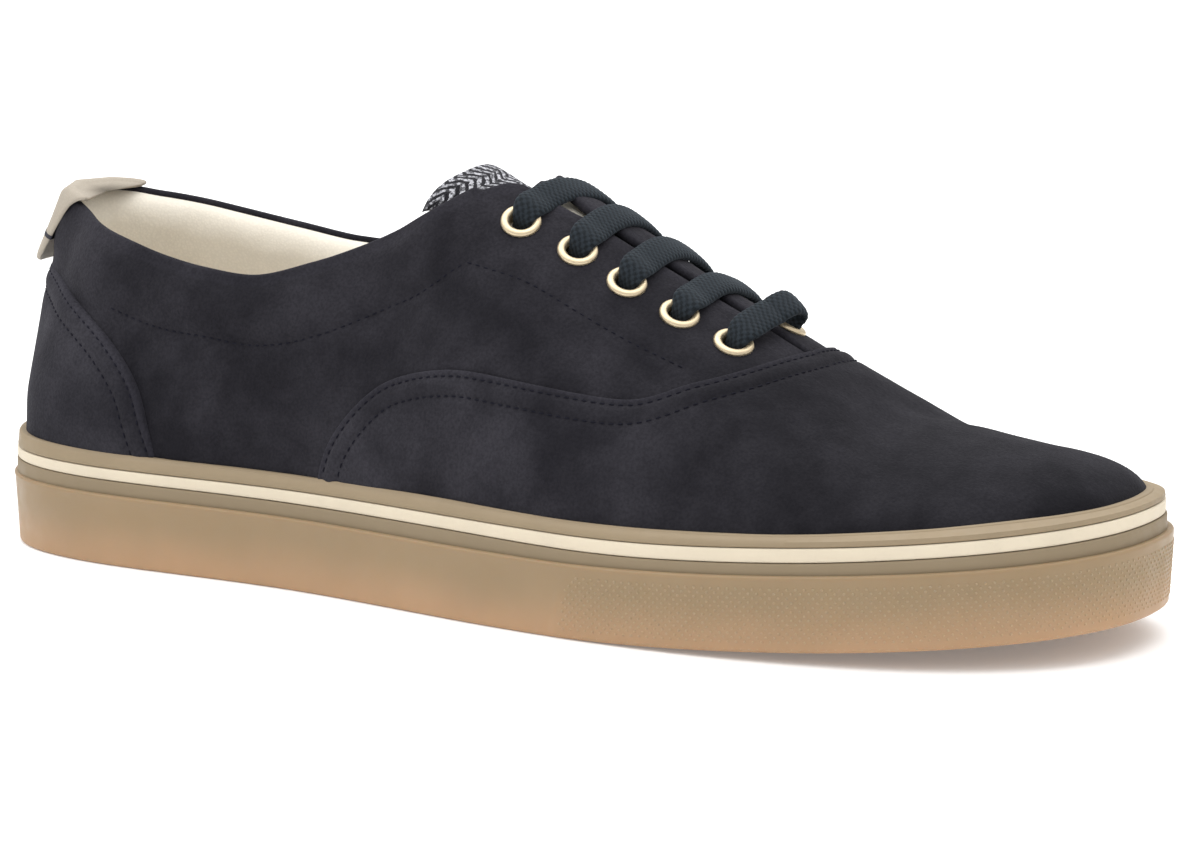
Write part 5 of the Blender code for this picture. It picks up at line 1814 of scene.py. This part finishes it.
@dataclass(frozen=True)
class Tongue:
    """The padded tweed tongue, under the throat, with a sewn patch near its top."""

    rows: int = 170
    across: int = 84
    back_x: float = -23.5
    back_drop: float = 6.0
    front_x: float = 68.0
    half: Two = (17.5, 13.0)
    medial_fall: float = 6.0
    thick: Two = (2.6, 1.5)
    roll: float = 3.0
    tail: float = 0.015
    weave_from: Two = (60.0, 50.0)
    rough: tuple[int, int] = (40, 25)
    patch_x: Two = (-7.0, 10.5)
    patch_half: float = 9.0
    patch_thick: float = 0.8
    patch_lift: float = 0.15
    patch_rows: int = 30

    def face(self, x: Array, side: Array) -> Array:
        """The outer face's points at x and this share of its half width."""
        length = (x - self.back_x) / (self.front_x - self.back_x)
        half = self.half[0] + (self.half[1] - self.half[0]) * length
        y = LAST.ridge(x)[0][..., 0] + half * side
        u, v = LAST.find(np.stack([x.ravel(), y.ravel()], -1), View.ABOVE, FRONT)
        point = LAST.point(u, v).reshape(*x.shape, 3)
        middle, edge = looked_up(SUNK, x)
        point[..., 2] -= middle + (edge - middle) * side**2
        point[..., 2] -= self.medial_fall * np.clip(side, 0, 1) ** 2 * (1 - ease(x, -14, 0))
        return point

    def build(self) -> bpy.types.Object:
        """A pillow whose two faces meet all round."""
        turn = np.linspace(-PI / 2, PI / 2, self.across)
        side = 0.35 * turn / (PI / 2) + 0.65 * np.sin(turn)
        length = np.linspace(0, 1, self.rows) ** 1.5
        rows, columns = (np.linspace(0, 1, self.rough[0]) ** 1.3, np.linspace(-1, 1, self.rough[1]))
        rough_length, rough_side = np.meshgrid(rows, columns, indexing="ij")
        back = self.back_x - self.back_drop * rough_side**2
        rough = self.face(back + (self.front_x - back) * rough_length, rough_side)
        surface = resampled(rough, rows, columns, length, side)
        length, side = np.meshgrid(length, side, indexing="ij")
        normal = grid_normal(surface)
        reach = (self.front_x - self.back_x) * length
        nose = dome(1 - np.clip(reach / self.roll, 0, 1))
        tail = dome(np.clip((length - 1 + self.tail) / self.tail, 0, 1))
        full = self.thick[0] + (self.thick[1] - self.thick[0]) * ease(length, 0.0, 0.5)
        swell = nose * dome(side, 5) * tail
        soft = (0.25 * ripple(surface, 20, 51) + 0.10 * ripple(surface, 8, 52)) * swell
        soft *= 1 - ease(length, 0.8, 0.95)
        outer = surface - ((1 - swell) * full - soft)[..., None] * normal
        inner = surface - ((1 + swell) * full)[..., None] * normal
        down = measure(surface[:, self.across // 2])[:, None]
        first, second = self.weave_from
        width = first + side * (self.half[0] + (self.half[1] - self.half[0]) * length)
        shape = Shape()
        top = shape.add(outer, across=width, down=down - full * swell + first)
        shape.pillow(top, shape.add(inner, across=width, down=second - down))
        made = shape.piece("tongue_pad", TWEED, ("tongue",))
        return made

    def build_patch(self) -> bpy.types.Object:
        """The plain leather patch sewn on the tongue's face."""
        share = np.sin(np.linspace(-PI / 2, PI / 2, self.patch_rows))
        low, high = self.patch_x
        along_it, across_it = np.meshgrid(share, share, indexing="ij")
        x = (low + high) / 2 + (high - low) / 2 * along_it
        surface = self.face(x, across_it * self.patch_half / (self.half[0] - 2.0))
        normal = grid_normal(surface)
        lift = self.patch_lift + self.patch_thick * dome(along_it, 8) * dome(across_it, 8)
        shape = Shape()
        top = shape.add(surface + lift[..., None] * normal, shade=0.0)
        shape.pillow(top, shape.add(surface - 0.1 * normal, shade=0.0))
        return shape.piece("tongue_patch", LABEL)


def resampled(grid: Array, rows: Array, columns: Array, new_rows: Array, new_columns: Array) -> Array:
    """A grid of values read smoothly at other rows and columns.

    Args:
        grid: The values, with any number of them last.
        rows, columns: Where the grid's rows and columns are.
        new_rows, new_columns: Where to read it.
    """
    count = grid.shape[-1]
    flat = grid.reshape(len(rows), -1)
    tall = along(rows, flat, open_slopes(rows, flat), new_rows)
    tall = tall.reshape(len(new_rows), len(columns), count).transpose(1, 0, 2)
    flat = tall.reshape(len(columns), -1)
    wide = along(columns, flat, open_slopes(columns, flat), new_columns)
    return wide.reshape(len(new_columns), len(new_rows), count).transpose(1, 0, 2)


# ---- Sole ----
class Band(NamedTuple):
    """How far the foxing's faces stand in from the outline, and its top edge's depth."""

    x: float
    lower: float
    upper: float
    top_edge: float


BANDS = rows_of(
    Band,
    (-150, 0.8, 1, 2.5), (-138, 0.9, 1.2, 2.1), (-118, 1.3, 1.7, 1.3), (-90, 1.4, 1.9, 1.1),
    (110, 1.4, 1.9, 1.2), (150, 1.6, 2.1, 1.5),
)


class BandHeight(NamedTuple):
    """Heights of the foxing's groove edges and top over the sole's underside."""

    x: float
    low: float
    high: float
    top: float


BAND_HEIGHTS = rows_of(
    BandHeight,
    (-150, 21.05, 23.85, 27.7), (-110, 20.7, 23.7, 27.2), (-60, 20.7, 23.85, 27.1),
    (-10, 20.8, 24.05, 27.4), (25, 20.4, 23.85, 26.7), (55, 20.05, 23.5, 26.3), (85, 20.1, 23.6, 26.05),
    (110, 20.4, 23.8, 26.4), (140, 20.8, 24.3, 27), (150, 21, 24.5, 27),
)


def ring_columns(pairs: int) -> Array:
    """u of columns all round the foot: the lateral ones and their medial twins."""
    share = np.linspace(0, 1, pairs + 1)
    tip = LAST.tip()
    return np.concatenate([share * tip, (1 - share * (1 - tip))[-2:0:-1]])


def beside(u: Array, height: float, clear: float) -> Array:
    """Points this far outside the upper's wall at this height."""
    plan = LAST.point(u, LAST.v_at(u, height)) + clear * LAST.outward(u)
    plan[..., 2] = height + LAST.spring(plan[..., 0])
    return plan


@dataclass(frozen=True)
class Outsole:
    """The gum cup: drafted wall, arch, tread, and dots round the forefoot."""

    pairs: int = 460
    across: int = 44
    top_z: float = 17.5
    draft: float = 0.95
    step_x: float = 27.0
    step_slant: float = 5.0
    step: float = 0.2
    groove_width: float = 2.6
    groove_depth: float = 1.6
    groove_border: float = 8.0
    wave: float = 1.0
    wave_length: float = 11.0
    arch: Two = (-46.0, 14.0)
    arch_border: float = 11.0
    heel_grooves: tuple[float, ...] = (-134.0, -125.0, -116.0, -90.0, -81.0, -72.0, -63.0)
    ball_grooves: tuple[float, ...] = (38.0, 47.0, 56.0, 65.0, 74.0, 83.0, 92.0, 101.0, 110.0, 119.0, 128.0)
    dot_pitch: float = 2.0
    dot_rise: float = 1.0
    dot_low: float = 2.6
    dot_high: float = 15.4
    dot_radius: float = 0.40
    dot_height: float = 0.22
    foot_row: Triple = (0.95, 0.98, 0.55)

    def edge_of_panel(self, height: Array) -> Array:
        """x where the dotted panel starts, further forward towards the top."""
        return self.step_x + self.step_slant * (np.asarray(height) / self.top_z) ** 2

    def section(self) -> list[Two]:
        """(inset, height) from the bottom's edge up the wall and over the top."""
        heights = np.linspace(1.1, self.top_z - 1.1, 13)
        wall = [(self.draft * (1 - z / self.top_z), z) for z in heights]
        foot = [(2.3, 0.0), (1.75, 0.08), (1.25, 0.35), (1.0, 0.7)]
        top = [(0.06, 16.95), (0.22, 17.28), (0.5, 17.45), (0.9, 17.5), (3.5, 17.5), (3.5, 9.9)]
        return foot + wall + top

    def tread(self, grid: Array, gap: Array) -> Array:
        """How far the underside is cut up: waved grooves, and the arch's hollow."""
        waved = grid[..., 0] + self.wave * np.sin(grid[..., 1] * 2 * PI / self.wave_length)
        places = np.array(self.heel_grooves + self.ball_grooves)
        near = np.abs(waved[..., None] - places).min(-1)
        cut = (1 - step_at(near, self.groove_width / 2, 0.4)) * step_at(gap, self.groove_border, 0.5)
        low, high = (step_at(grid[..., 0], place, 1.5) for place in self.arch)
        hollow = low * (1 - high) * step_at(gap, self.arch_border, 1.5)
        return self.groove_depth * np.maximum(cut, hollow)

    def build(self) -> bpy.types.Object:
        """One closed cup."""
        u = ring_columns(self.pairs)
        rings = []
        for inset, height in self.section():
            plain = LAST.level(u, np.full(u.shape, inset), height)
            back = 1 - step_at(plain[:, 0], self.edge_of_panel(height), 0.5)
            face = ease(height, 0.3, 1.2) * (1 - ease(height, self.top_z - 1.3, self.top_z - 0.6))
            rings.append(LAST.level(u, inset + self.step * back * face, height))
        points = np.stack(rings, axis=1)
        shape = Shape()
        numbers = shape.add(points, raised=0.0)
        shape.cover(numbers, ring_rows=True)
        for row, turned, lifted in ((0, True, True), (-1, False, False)):
            self.cap(shape, points[:, row], numbers[:, row], turned, lifted)
        return shape.piece("gum_outsole", GUM, ("outsole",), 60)

    def cap(self, shape: Shape, ring: Array, numbers: Array, turned: bool, lifted: bool) -> None:
        """Faces across a ring, from each lateral column to its medial twin.

        Args:
            shape: The shape that they are added to.
            ring: The ring's points.
            numbers: Their numbers.
            turned: The faces look down.
            lifted: The tread is cut into them.
        """
        lateral = np.arange(1, self.pairs)
        medial = len(ring) - lateral
        grid, gap = ruled(ring[lateral], ring[medial], self.across, (HEEL_X, TOE_X))
        if lifted:
            grid[..., 2] = LAST.spring(grid[..., 0]) + self.tread(grid, gap)
        inner = shape.add(grid[:, 1:-1])
        rows = np.hstack([numbers[lateral][:, None], inner, numbers[medial][:, None]])
        back, front = (np.full((1, rows.shape[1]), numbers[k]) for k in (0, self.pairs))
        shape.cover(np.concatenate([back, rows, front]), turned=turned)

    def dots(self) -> bpy.types.Object:
        """Small domes in a diamond lattice round the forefoot, and along its foot."""
        fine = np.linspace(0, 1, 6001)
        at = measure(LAST.level(fine, np.zeros(fine.shape), 0.0))
        places: list[Array] = []
        heights = np.arange(self.dot_low, self.dot_high, self.dot_rise)
        rows = [(height, self.draft * (1 - height / self.top_z), 1.0) for height in heights]
        for number, (height, inset, share) in enumerate([*rows, self.foot_row]):
            where = (np.arange(int(at[-1] / self.dot_pitch)) + 0.5 * (number % 2)) * self.dot_pitch
            u = np.interp(where, at, fine)
            middle = LAST.level(u, np.full(u.shape, inset), height)
            kept = middle[:, 0] > self.edge_of_panel(height) + 2.0
            size = np.full((kept.sum(), 1), share)
            places.append(np.concatenate([middle[kept], LAST.outward(u[kept]), size], -1))
        place = np.concatenate(places)
        middle, out, size = place[:, None, :3], place[:, None, 3:6], place[:, None, 6:]
        up = np.array([0.0, 0.0, 1.0])
        spoke = self.dot_radius * spokes(np.cross(up, out), up, 6)
        shape = Shape()
        # This value sets the painted highlight on each dot, brightest at its top.
        rings = [
            shape.add(middle + size * (far * spoke + self.dot_height * rise * out), raised=raised)
            for far, rise, raised in ((1.0, -0.2, 0.3), (0.68, 0.72, 1.0))
        ]
        rings.append(shape.add(middle[:, 0] + size[:, 0] * self.dot_height * out[:, 0], raised=1.0))
        shape.beads(rings, turned=True)
        return shape.piece("sole_dots", GUM)


@dataclass(frozen=True)
class Foxing:
    """The taupe band round the upper, with the cream stripe in its groove."""

    pairs: int = 330
    bottom: float = 17.35
    groove_depth: float = 1.1
    stripe_gap: float = 0.15
    stripe_face: float = -0.12

    def build(self) -> bpy.types.Object:
        """The band as one closed ring."""
        u = ring_columns(self.pairs)
        x = LAST.station(u)[:, 0]
        lower, upper, edge = looked_up(BANDS, x)
        low, high, height = looked_up(BAND_HEIGHTS, x)
        out = LAST.outward(u)
        inner_top = beside(u, height, -0.3)
        outer_top = inner_top + (edge + 0.6)[:, None] * out
        shoulder = LAST.level(u, upper + 0.16, high + 1.3)
        # The last number of each row is painted shade: darkest in the stripe's groove, darker on the lower
        # band under it and at the top's inner edge.
        wall = (
            (lower, self.bottom, 0.6),
            (lower, low - 0.4, 0.6),
            (lower + 0.1, low - 0.12, 0.6),
            (lower + 0.35, low, 0.9),
            (upper + self.groove_depth, low, 1.0),
            (upper + self.groove_depth, high, 1.0),
            (upper + 0.35, high, 0.6),
            (upper + 0.1, high + 0.12, 0.0),
            (upper, high + 0.4, 0.0),
        )
        rows = [(LAST.level(u, inset, z), shade) for inset, z, shade in wall] + [
            (shoulder, 0.0),
            (shoulder + 0.45 * (outer_top - shoulder), 0.0),
            (shoulder + 0.8 * (outer_top - shoulder), 0.0),
            (outer_top - [0, 0, 0.35] - 0.05 * out, 0.0),
            (outer_top - [0, 0, 0.08] - 0.25 * out, 0.0),
            (outer_top - 0.55 * out, 0.2),
            (inner_top, 0.8),
            (beside(u, height - 3.0, -0.5), 0.0),
            (beside(u, self.bottom, -0.5), 0.0),
        ]
        rings, shades = zip(*rows)
        grid = np.stack(rings, axis=1)
        shape = Shape()
        numbers = shape.add(grid, shade=np.broadcast_to(shades, grid.shape[:-1]))
        shape.cover(numbers, ring_rows=True, ring_columns=True)
        return shape.piece("foxing_band", TAUPE, ("foxing",), 50)

    def build_stripe(self) -> bpy.types.Object:
        """The stripe as one closed ring with rounded edges."""
        u = ring_columns(self.pairs)
        x = LAST.station(u)[:, 0]
        upper = looked_up(BANDS, x, "upper")
        low, high = looked_up(BAND_HEIGHTS, x, "low", "high")
        low, high = low + self.stripe_gap, high - self.stripe_gap
        section = ((0.9, low), (0.15, low), (-0.05, low + 0.15), (self.stripe_face, low + 0.5))
        rings = [LAST.level(u, upper + inset, z) for inset, z in section]
        rings += [LAST.level(u, upper + inset, low + high - z) for inset, z in section[::-1]]
        shape = Shape()
        shape.cover(shape.add(np.stack(rings, axis=1), shade=0.0), ring_rows=True, ring_columns=True)
        return shape.piece("cream_stripe", CREAM, ("stripe",), 50)


# ---- Fastening ----
@dataclass(frozen=True)
class EyeletRing:
    """A rolled metal ring."""

    bore: float = 2.8
    flange: float = 4.75
    crest: float = 1.0
    low: float = -2.4
    turns: int = 40
    arc_rows: int = 9

    def section(self) -> Array:
        """(radius, height) round the ring's section, from the barrel's foot."""
        middle = (self.bore + self.flange) / 2
        half = (self.flange - self.bore) / 2
        turn = np.linspace(PI, 0, self.arc_rows)
        arc = np.stack([middle + half * np.cos(turn), 0.25 + (self.crest - 0.25) * np.sin(turn)], -1)
        ends = np.array([[self.flange, -0.1], [self.flange - 0.4, -0.4], [3.3, -0.5], [3.3, self.low]])
        return np.concatenate([[[self.bore, self.low], [self.bore, -0.8]], arc, ends])

    def build(self, pattern: Pattern) -> None:
        """The ten rings."""
        radius, height = np.split(self.section()[None], 2, axis=-1)
        for index in range(len(EYELETS)):
            spoke = spokes(pattern.forward[index], pattern.sideways[index], self.turns)
            points = pattern.middle[index] + radius * spoke[:, None] + height * pattern.outward[index]
            shape = Shape()
            shape.cover(shape.add(points), ring_rows=True, ring_columns=True, turned=True)
            place = f"{'lateral' if index < PAIRS else 'medial'}_{index % PAIRS + 1}"
            shape.piece(f"ring_{place}", BRASS, (f"eyelet_{place}",))


class LacePoint(NamedTuple):
    """A point of a bar's middle line, from its eyelet's axis towards the throat."""

    inward: float
    height: float
    grown: float


LACE_PATH = rows_of(
    LacePoint,
    (0.2, -3.4, 0), (0.5, -1.2, 0), (0.9, 0.4, 0.25), (1.7, 1.5, 0.6), (3, 2.1, 0.85), (4.8, 2, 1),
    (6.8, 1.6, 1), (9.4, 1.3, 1),
)

FAR_PATH = rows_of(
    LacePoint,
    (0, -3.4, 0), (0, -1.2, 0), (0.4, 0.4, 0.25), (1.5, 1.5, 0.7), (3.2, 1.8, 1), (5.4, 1.65, 1),
    (8, 1.35, 1), (10.4, 1.2, 1),
)

LOOP_PATH = rows_of(
    LacePoint,
    (0, -3.4, 0), (-0.1, -0.8, 0.1), (-0.6, 1.4, 0.4), (-0.5, 3.6, 0.8), (0.9, 5.3, 1), (3.4, 5.9, 1),
    (6.6, 5.1, 1), (9.4, 4, 1),
)


@dataclass(frozen=True)
class Lacing:
    """Flat braided lace in five bars, with short runs under the eyestays."""

    half_wide: float = 3.9
    half_thick: float = 1.2
    slim: Two = (2.4, 1.3)
    middles: tuple[float, ...] = (1.1, 1.2, 1.2, 1.3, 1.5)
    tilt: float = 0.22
    drops: tuple[float, ...] = (1.3, 0.5, 0.4, 0.3, 0.0)
    loop_lift: float = 2.3
    around: int = 56
    step: float = 0.28
    strand: float = 1.5
    strands: float = 4.0
    square: Two = (0.75, 0.85)
    strand_square: float = 0.6
    relief: float = 0.20
    run_depth: float = 3.5
    run_half: Two = (2.3, 0.7)
    runs: tuple[tuple[int, int], ...] = ((4, 3), (2, 0), (8, 6), (9, 7))

    def strap(self, path: Array, flat: Array, half: Array, shape: Shape) -> None:
        """A braided strap along a path.

        Args:
            path: The middle line's points.
            flat: Direction of the strap's width at each.
            half: Half width and half thickness at each.
            shape: The shape that it is added to.
        """
        at = measure(path)
        count = int(at[-1] / self.step)
        fine = np.linspace(0, at[-1], count)
        both = np.concatenate([path, flat, half], -1)
        read = along(at, both, open_slopes(at, both), fine)
        path, flat, half = read[:, :3], read[:, 3:6], read[:, 6:]
        ahead = unit(np.gradient(path, axis=0))
        flat = unit(flat - dot(flat, ahead) * ahead)
        thick = np.cross(ahead, flat)
        turn = (np.arange(self.around) + 0.5) * 2 * PI / self.around
        wide = powered(np.cos(turn), self.square[0])
        tall = powered(np.sin(turn), self.square[1])
        along_it = np.cos(2 * PI * fine[:, None] / self.strand)
        across_it = np.cos(2 * PI * self.strands * wide[None] / 2 + 0.5 * PI)
        # This value of how far a strand stands out also paints shade between the strands.
        raised = 0.5 + 0.5 * powered(along_it * across_it, self.strand_square)
        swell = self.relief * (raised - 0.5)
        across = (half[:, :1] + swell) * wide
        up = (half[:, 1:] + swell) * tall
        points = path[:, None] + across[..., None] * flat[:, None] + up[..., None] * thick[:, None]
        shape.tube(points, turned=True, end=0.5, raised=raised)

    def bar(self, pattern: Pattern, pair: int, shape: Shape) -> None:
        """Up through the lateral eyelet, over the throat, and down the medial one."""
        looped = pair == PAIRS - 1
        over = table(LACE_PATH, *LacePoint._fields)
        down = table(LOOP_PATH if looped else FAR_PATH, *LacePoint._fields)[::-1]
        start, finish = pattern.middle[pair], pattern.middle[pair + PAIRS]
        span = finish[:2] - start[:2]
        length = np.linalg.norm(span)
        down[:, 0] = length - down[:, 0]
        middle = [[length / 2, self.middles[pair], 1.0]]
        inward, height, grown = np.concatenate([over, middle, down]).T
        if looped:
            near = slice(0, len(over) + 1)
            height[near] += self.loop_lift * ease(inward[near], 1.0, 11.0)
        height -= self.drops[pair] * ease(inward, 0.0, 9.0) * (1 - ease(inward, 0.5 * length, 0.85 * length))
        fine = np.linspace(0, 1, 5 * len(inward))
        rough = np.stack([inward, height, grown], -1)
        at = measure(rough[:, :2])
        inward, height, grown = along(at, rough, even_slopes(at, rough), fine * at[-1]).T
        plan = start[:2] + inward[:, None] * span / length
        u, v = LAST.find(plan, View.ABOVE, FRONT)
        path = LAST.point(u, v) + height[:, None] * LAST.normal(u, np.minimum(v, 0.999))
        slim = np.array(self.slim)
        half = slim + grown[:, None] * (np.array([self.half_wide, self.half_thick]) - slim)
        up = pattern.outward[pair] + pattern.outward[pair + PAIRS]
        way = unit(pattern.forward[pair] + pattern.forward[pair + PAIRS] - self.tilt * up)
        self.strap(path, np.broadcast_to(way, path.shape), half, shape)

    def run(self, pattern: Pattern, first: int, last: int, shape: Shape) -> None:
        """The lace under one eyestay from eyelet to eyelet."""
        share = np.linspace(0, 1, 7)[:, None]
        ends = [pattern.middle[i] - self.run_depth * pattern.outward[i] for i in (first, last)]
        path = ends[0] + share * (ends[1] - ends[0])
        flat = pattern.sideways[first] + share * (pattern.sideways[last] - pattern.sideways[first])
        self.strap(path, flat, np.broadcast_to(self.run_half, (len(path), 2)), shape)

    def build(self, pattern: Pattern) -> None:
        """The bars, and the runs that join them."""
        for pair in range(PAIRS):
            shape = Shape()
            self.bar(pattern, pair, shape)
            shape.piece(f"lace_bar_{pair + 1}", LACE, ("lace",))
        shape = Shape()
        for first, last in self.runs:
            self.run(pattern, first, last, shape)
        shape.piece("lace_runs", LACE)


@dataclass(frozen=True)
class Stitching:
    """Rows of short thread stitches, half sunk in the leather."""

    pitch: float = 2.2
    half_length: float = 0.78
    radius: float = 0.20
    foot_z: float = 27.6

    def row(self, path: Path, height: Callable[[Path], Array], shape: Shape) -> None:
        """One row of stitches.

        Args:
            path: The row's line.
            height: Gives the face's distance from the last along a line.
            shape: The shape that it is added to.
        """
        line = path.points()
        at = measure(line)
        count = max(2, int(at[-1] / self.pitch))
        where = (np.arange(count) + 0.5) / count * at[-1]
        u, v = np.interp(where, at, path.u), np.interp(where, at, path.v)
        spots = Path(u, v, path.inward)
        ahead, across, normal = spots.frames()
        middle = LAST.point(u, v)
        shown = (middle[:, 2] - LAST.spring(middle[:, 0]) > self.foot_z) & (v < 1.003)
        middle = middle + (height(spots)[:, None] + 0.05) * normal
        ahead, across, normal, middle = (part[shown, None] for part in (ahead, across, normal, middle))
        ahead = self.half_length * ahead
        spoke = self.radius * spokes(across, normal, 6)
        rings = [
            shape.add(middle + place * ahead + lift * normal + size * spoke)
            for place, size, lift in ((-0.62, 0.85, 0.0), (0.0, 1.0, 0.1), (0.62, 0.85, 0.0))
        ]
        back, front = (shape.add((middle + sign * ahead - 0.15 * normal)[:, 0]) for sign in (-1, 1))
        shape.beads([back, *rings, front])

    def build(self, pattern: Pattern, quarters: Quarters, vamp: Vamp, counter: Counter) -> None:
        """Every row: the wings', the counter's, the collar's and the eyestays'."""

        def on_quarters(path: Path) -> Array:
            """The quarters' height along a line."""
            points = LAST.point(path.u, path.v)
            return quarters.relief(pattern, path.u, path.v, points)

        def on_vamp(path: Path) -> Array:
            """The vamp's height along a line."""
            return vamp.height(pattern, LAST.point(path.u, path.v))

        def on_counter(path: Path) -> Array:
            """The counter's height along a line."""
            return counter.height(pattern, LAST.point(path.u, path.v))

        shape = Shape()
        for wing in pattern.wings:
            for inset in vamp.stitch_rows:
                self.row(wing.inset(inset), on_vamp, shape)
        for inset in counter.stitch_rows:
            self.row(pattern.counter.inset(inset), on_counter, shape)
        for path in pattern.collar_rows + pattern.eyestay_rows:
            self.row(path, on_quarters, shape)
        shape.piece("stitches", THREAD)


# ---- Stage ----
@dataclass(frozen=True)
class Stage:
    """A pale floor, soft studio light and the camera. Distances in millimetres."""

    floor_half: float = 6000.0
    azimuth: float = 30.0
    elevation: float = 10.5
    distance: float = 1130.0
    target: Triple = (10.2, 0.0, 38.2)
    lens: float = 144.5
    sky: Two = (0.56, 1.24)
    sky_full: float = 0.8
    lamp_size: float = 2100.0

    def floor(self) -> None:
        """The floor at height 0."""
        half = self.floor_half * MM
        mesh = bpy.data.meshes.new("floor")
        corners = [(-half, -half, 0), (half, -half, 0), (half, half, 0), (-half, half, 0)]
        mesh.from_pydata(corners, [], [(0, 1, 2, 3)])
        mesh.materials.append(FLOOR.material())
        made = linked("floor", mesh)

    def lamp(self, name: str, place: Triple, watts: float) -> None:
        """A square soft lamp that looks at the target, from a place in millimetres."""
        light = bpy.data.lights.new(name, "AREA")
        light.shape = "SQUARE"
        light.size = self.lamp_size * MM
        light.energy = watts
        back = unit(np.array(place) - np.array(self.target))
        linked(name, light).matrix_world = aimed(np.array(place), back)

    def build(self) -> None:
        """Floor, sky, lamps and camera."""
        scene = bpy.context.scene
        scene.view_settings.view_transform = "Standard"
        self.floor()
        world = bpy.data.worlds.new("studio")
        world.use_nodes = True
        tree = world.node_tree
        split = tree.nodes.new("ShaderNodeSeparateXYZ")
        tree.links.new(tree.nodes.new("ShaderNodeTexCoord").outputs["Generated"], split.inputs[0])
        span = tree.nodes.new("ShaderNodeMapRange")
        for number, value in enumerate((0.0, self.sky_full, *self.sky), 1):
            span.inputs[number].default_value = value
        tree.links.new(split.outputs["Z"], span.inputs[0])
        tree.links.new(span.outputs[0], tree.nodes["Background"].inputs["Strength"])
        tree.nodes["Background"].inputs["Color"].default_value = (1, 1, 1, 1)
        scene.world = world
        self.lamp("key_lamp", (-450.0, -300.0, 1400.0), 11.0)
        self.lamp("top_lamp", (0.0, 350.0, 1500.0), 16.0)
        a, e = math.radians(self.azimuth), math.radians(self.elevation)
        back = np.array([math.sin(a) * math.cos(e), -math.cos(a) * math.cos(e), math.sin(e)])
        view = bpy.data.cameras.new("camera")
        view.sensor_fit = "HORIZONTAL"
        view.sensor_width = 36.0
        view.lens = self.lens
        view.clip_end = 50.0
        scene.camera = linked("camera", view)
        scene.camera.matrix_world = aimed(np.array(self.target) + self.distance * back, back)


def aimed(place: Array, back: Array) -> Matrix:
    """The matrix of an object at this place whose own +Z points back, upright."""
    right = unit(np.cross([0.0, 0.0, 1.0], back))
    matrix = np.eye(4)
    matrix[:3, :3] = np.stack([right, np.cross(back, right), back], 1)
    matrix[:3, 3] = place * MM
    return Matrix(matrix.tolist())


# ---- Shoe ----
def corners(box: Sequence[Sequence[float]]) -> list[list[float]]:
    """A box's two corners as plain lists."""
    return [[float(part) for part in corner] for corner in box]


def main() -> None:
    """Builds the shoe's pieces in order, and the stage."""
    logging.basicConfig(level=logging.INFO, format="%(name)s %(message)s")
    pattern = Pattern()
    quarters, vamp, counter = Quarters(), Vamp(), Counter()
    outsole, foxing = Outsole(), Foxing()
    outsole.build()
    outsole.dots()
    foxing.build()
    foxing.build_stripe()
    quarters.build(pattern)
    vamp.build(pattern)
    counter.build(pattern)
    CollarLining().build(pattern)
    Footbed().build(pattern)
    HeelTab().build(pattern)
    tongue = Tongue()
    tongue.build()
    tongue.build_patch()
    EyeletRing().build(pattern)
    Lacing().build(pattern)
    Stitching().build(pattern, quarters, vamp, counter)
    Stage().build()


if __name__ == "__main__":
    main()
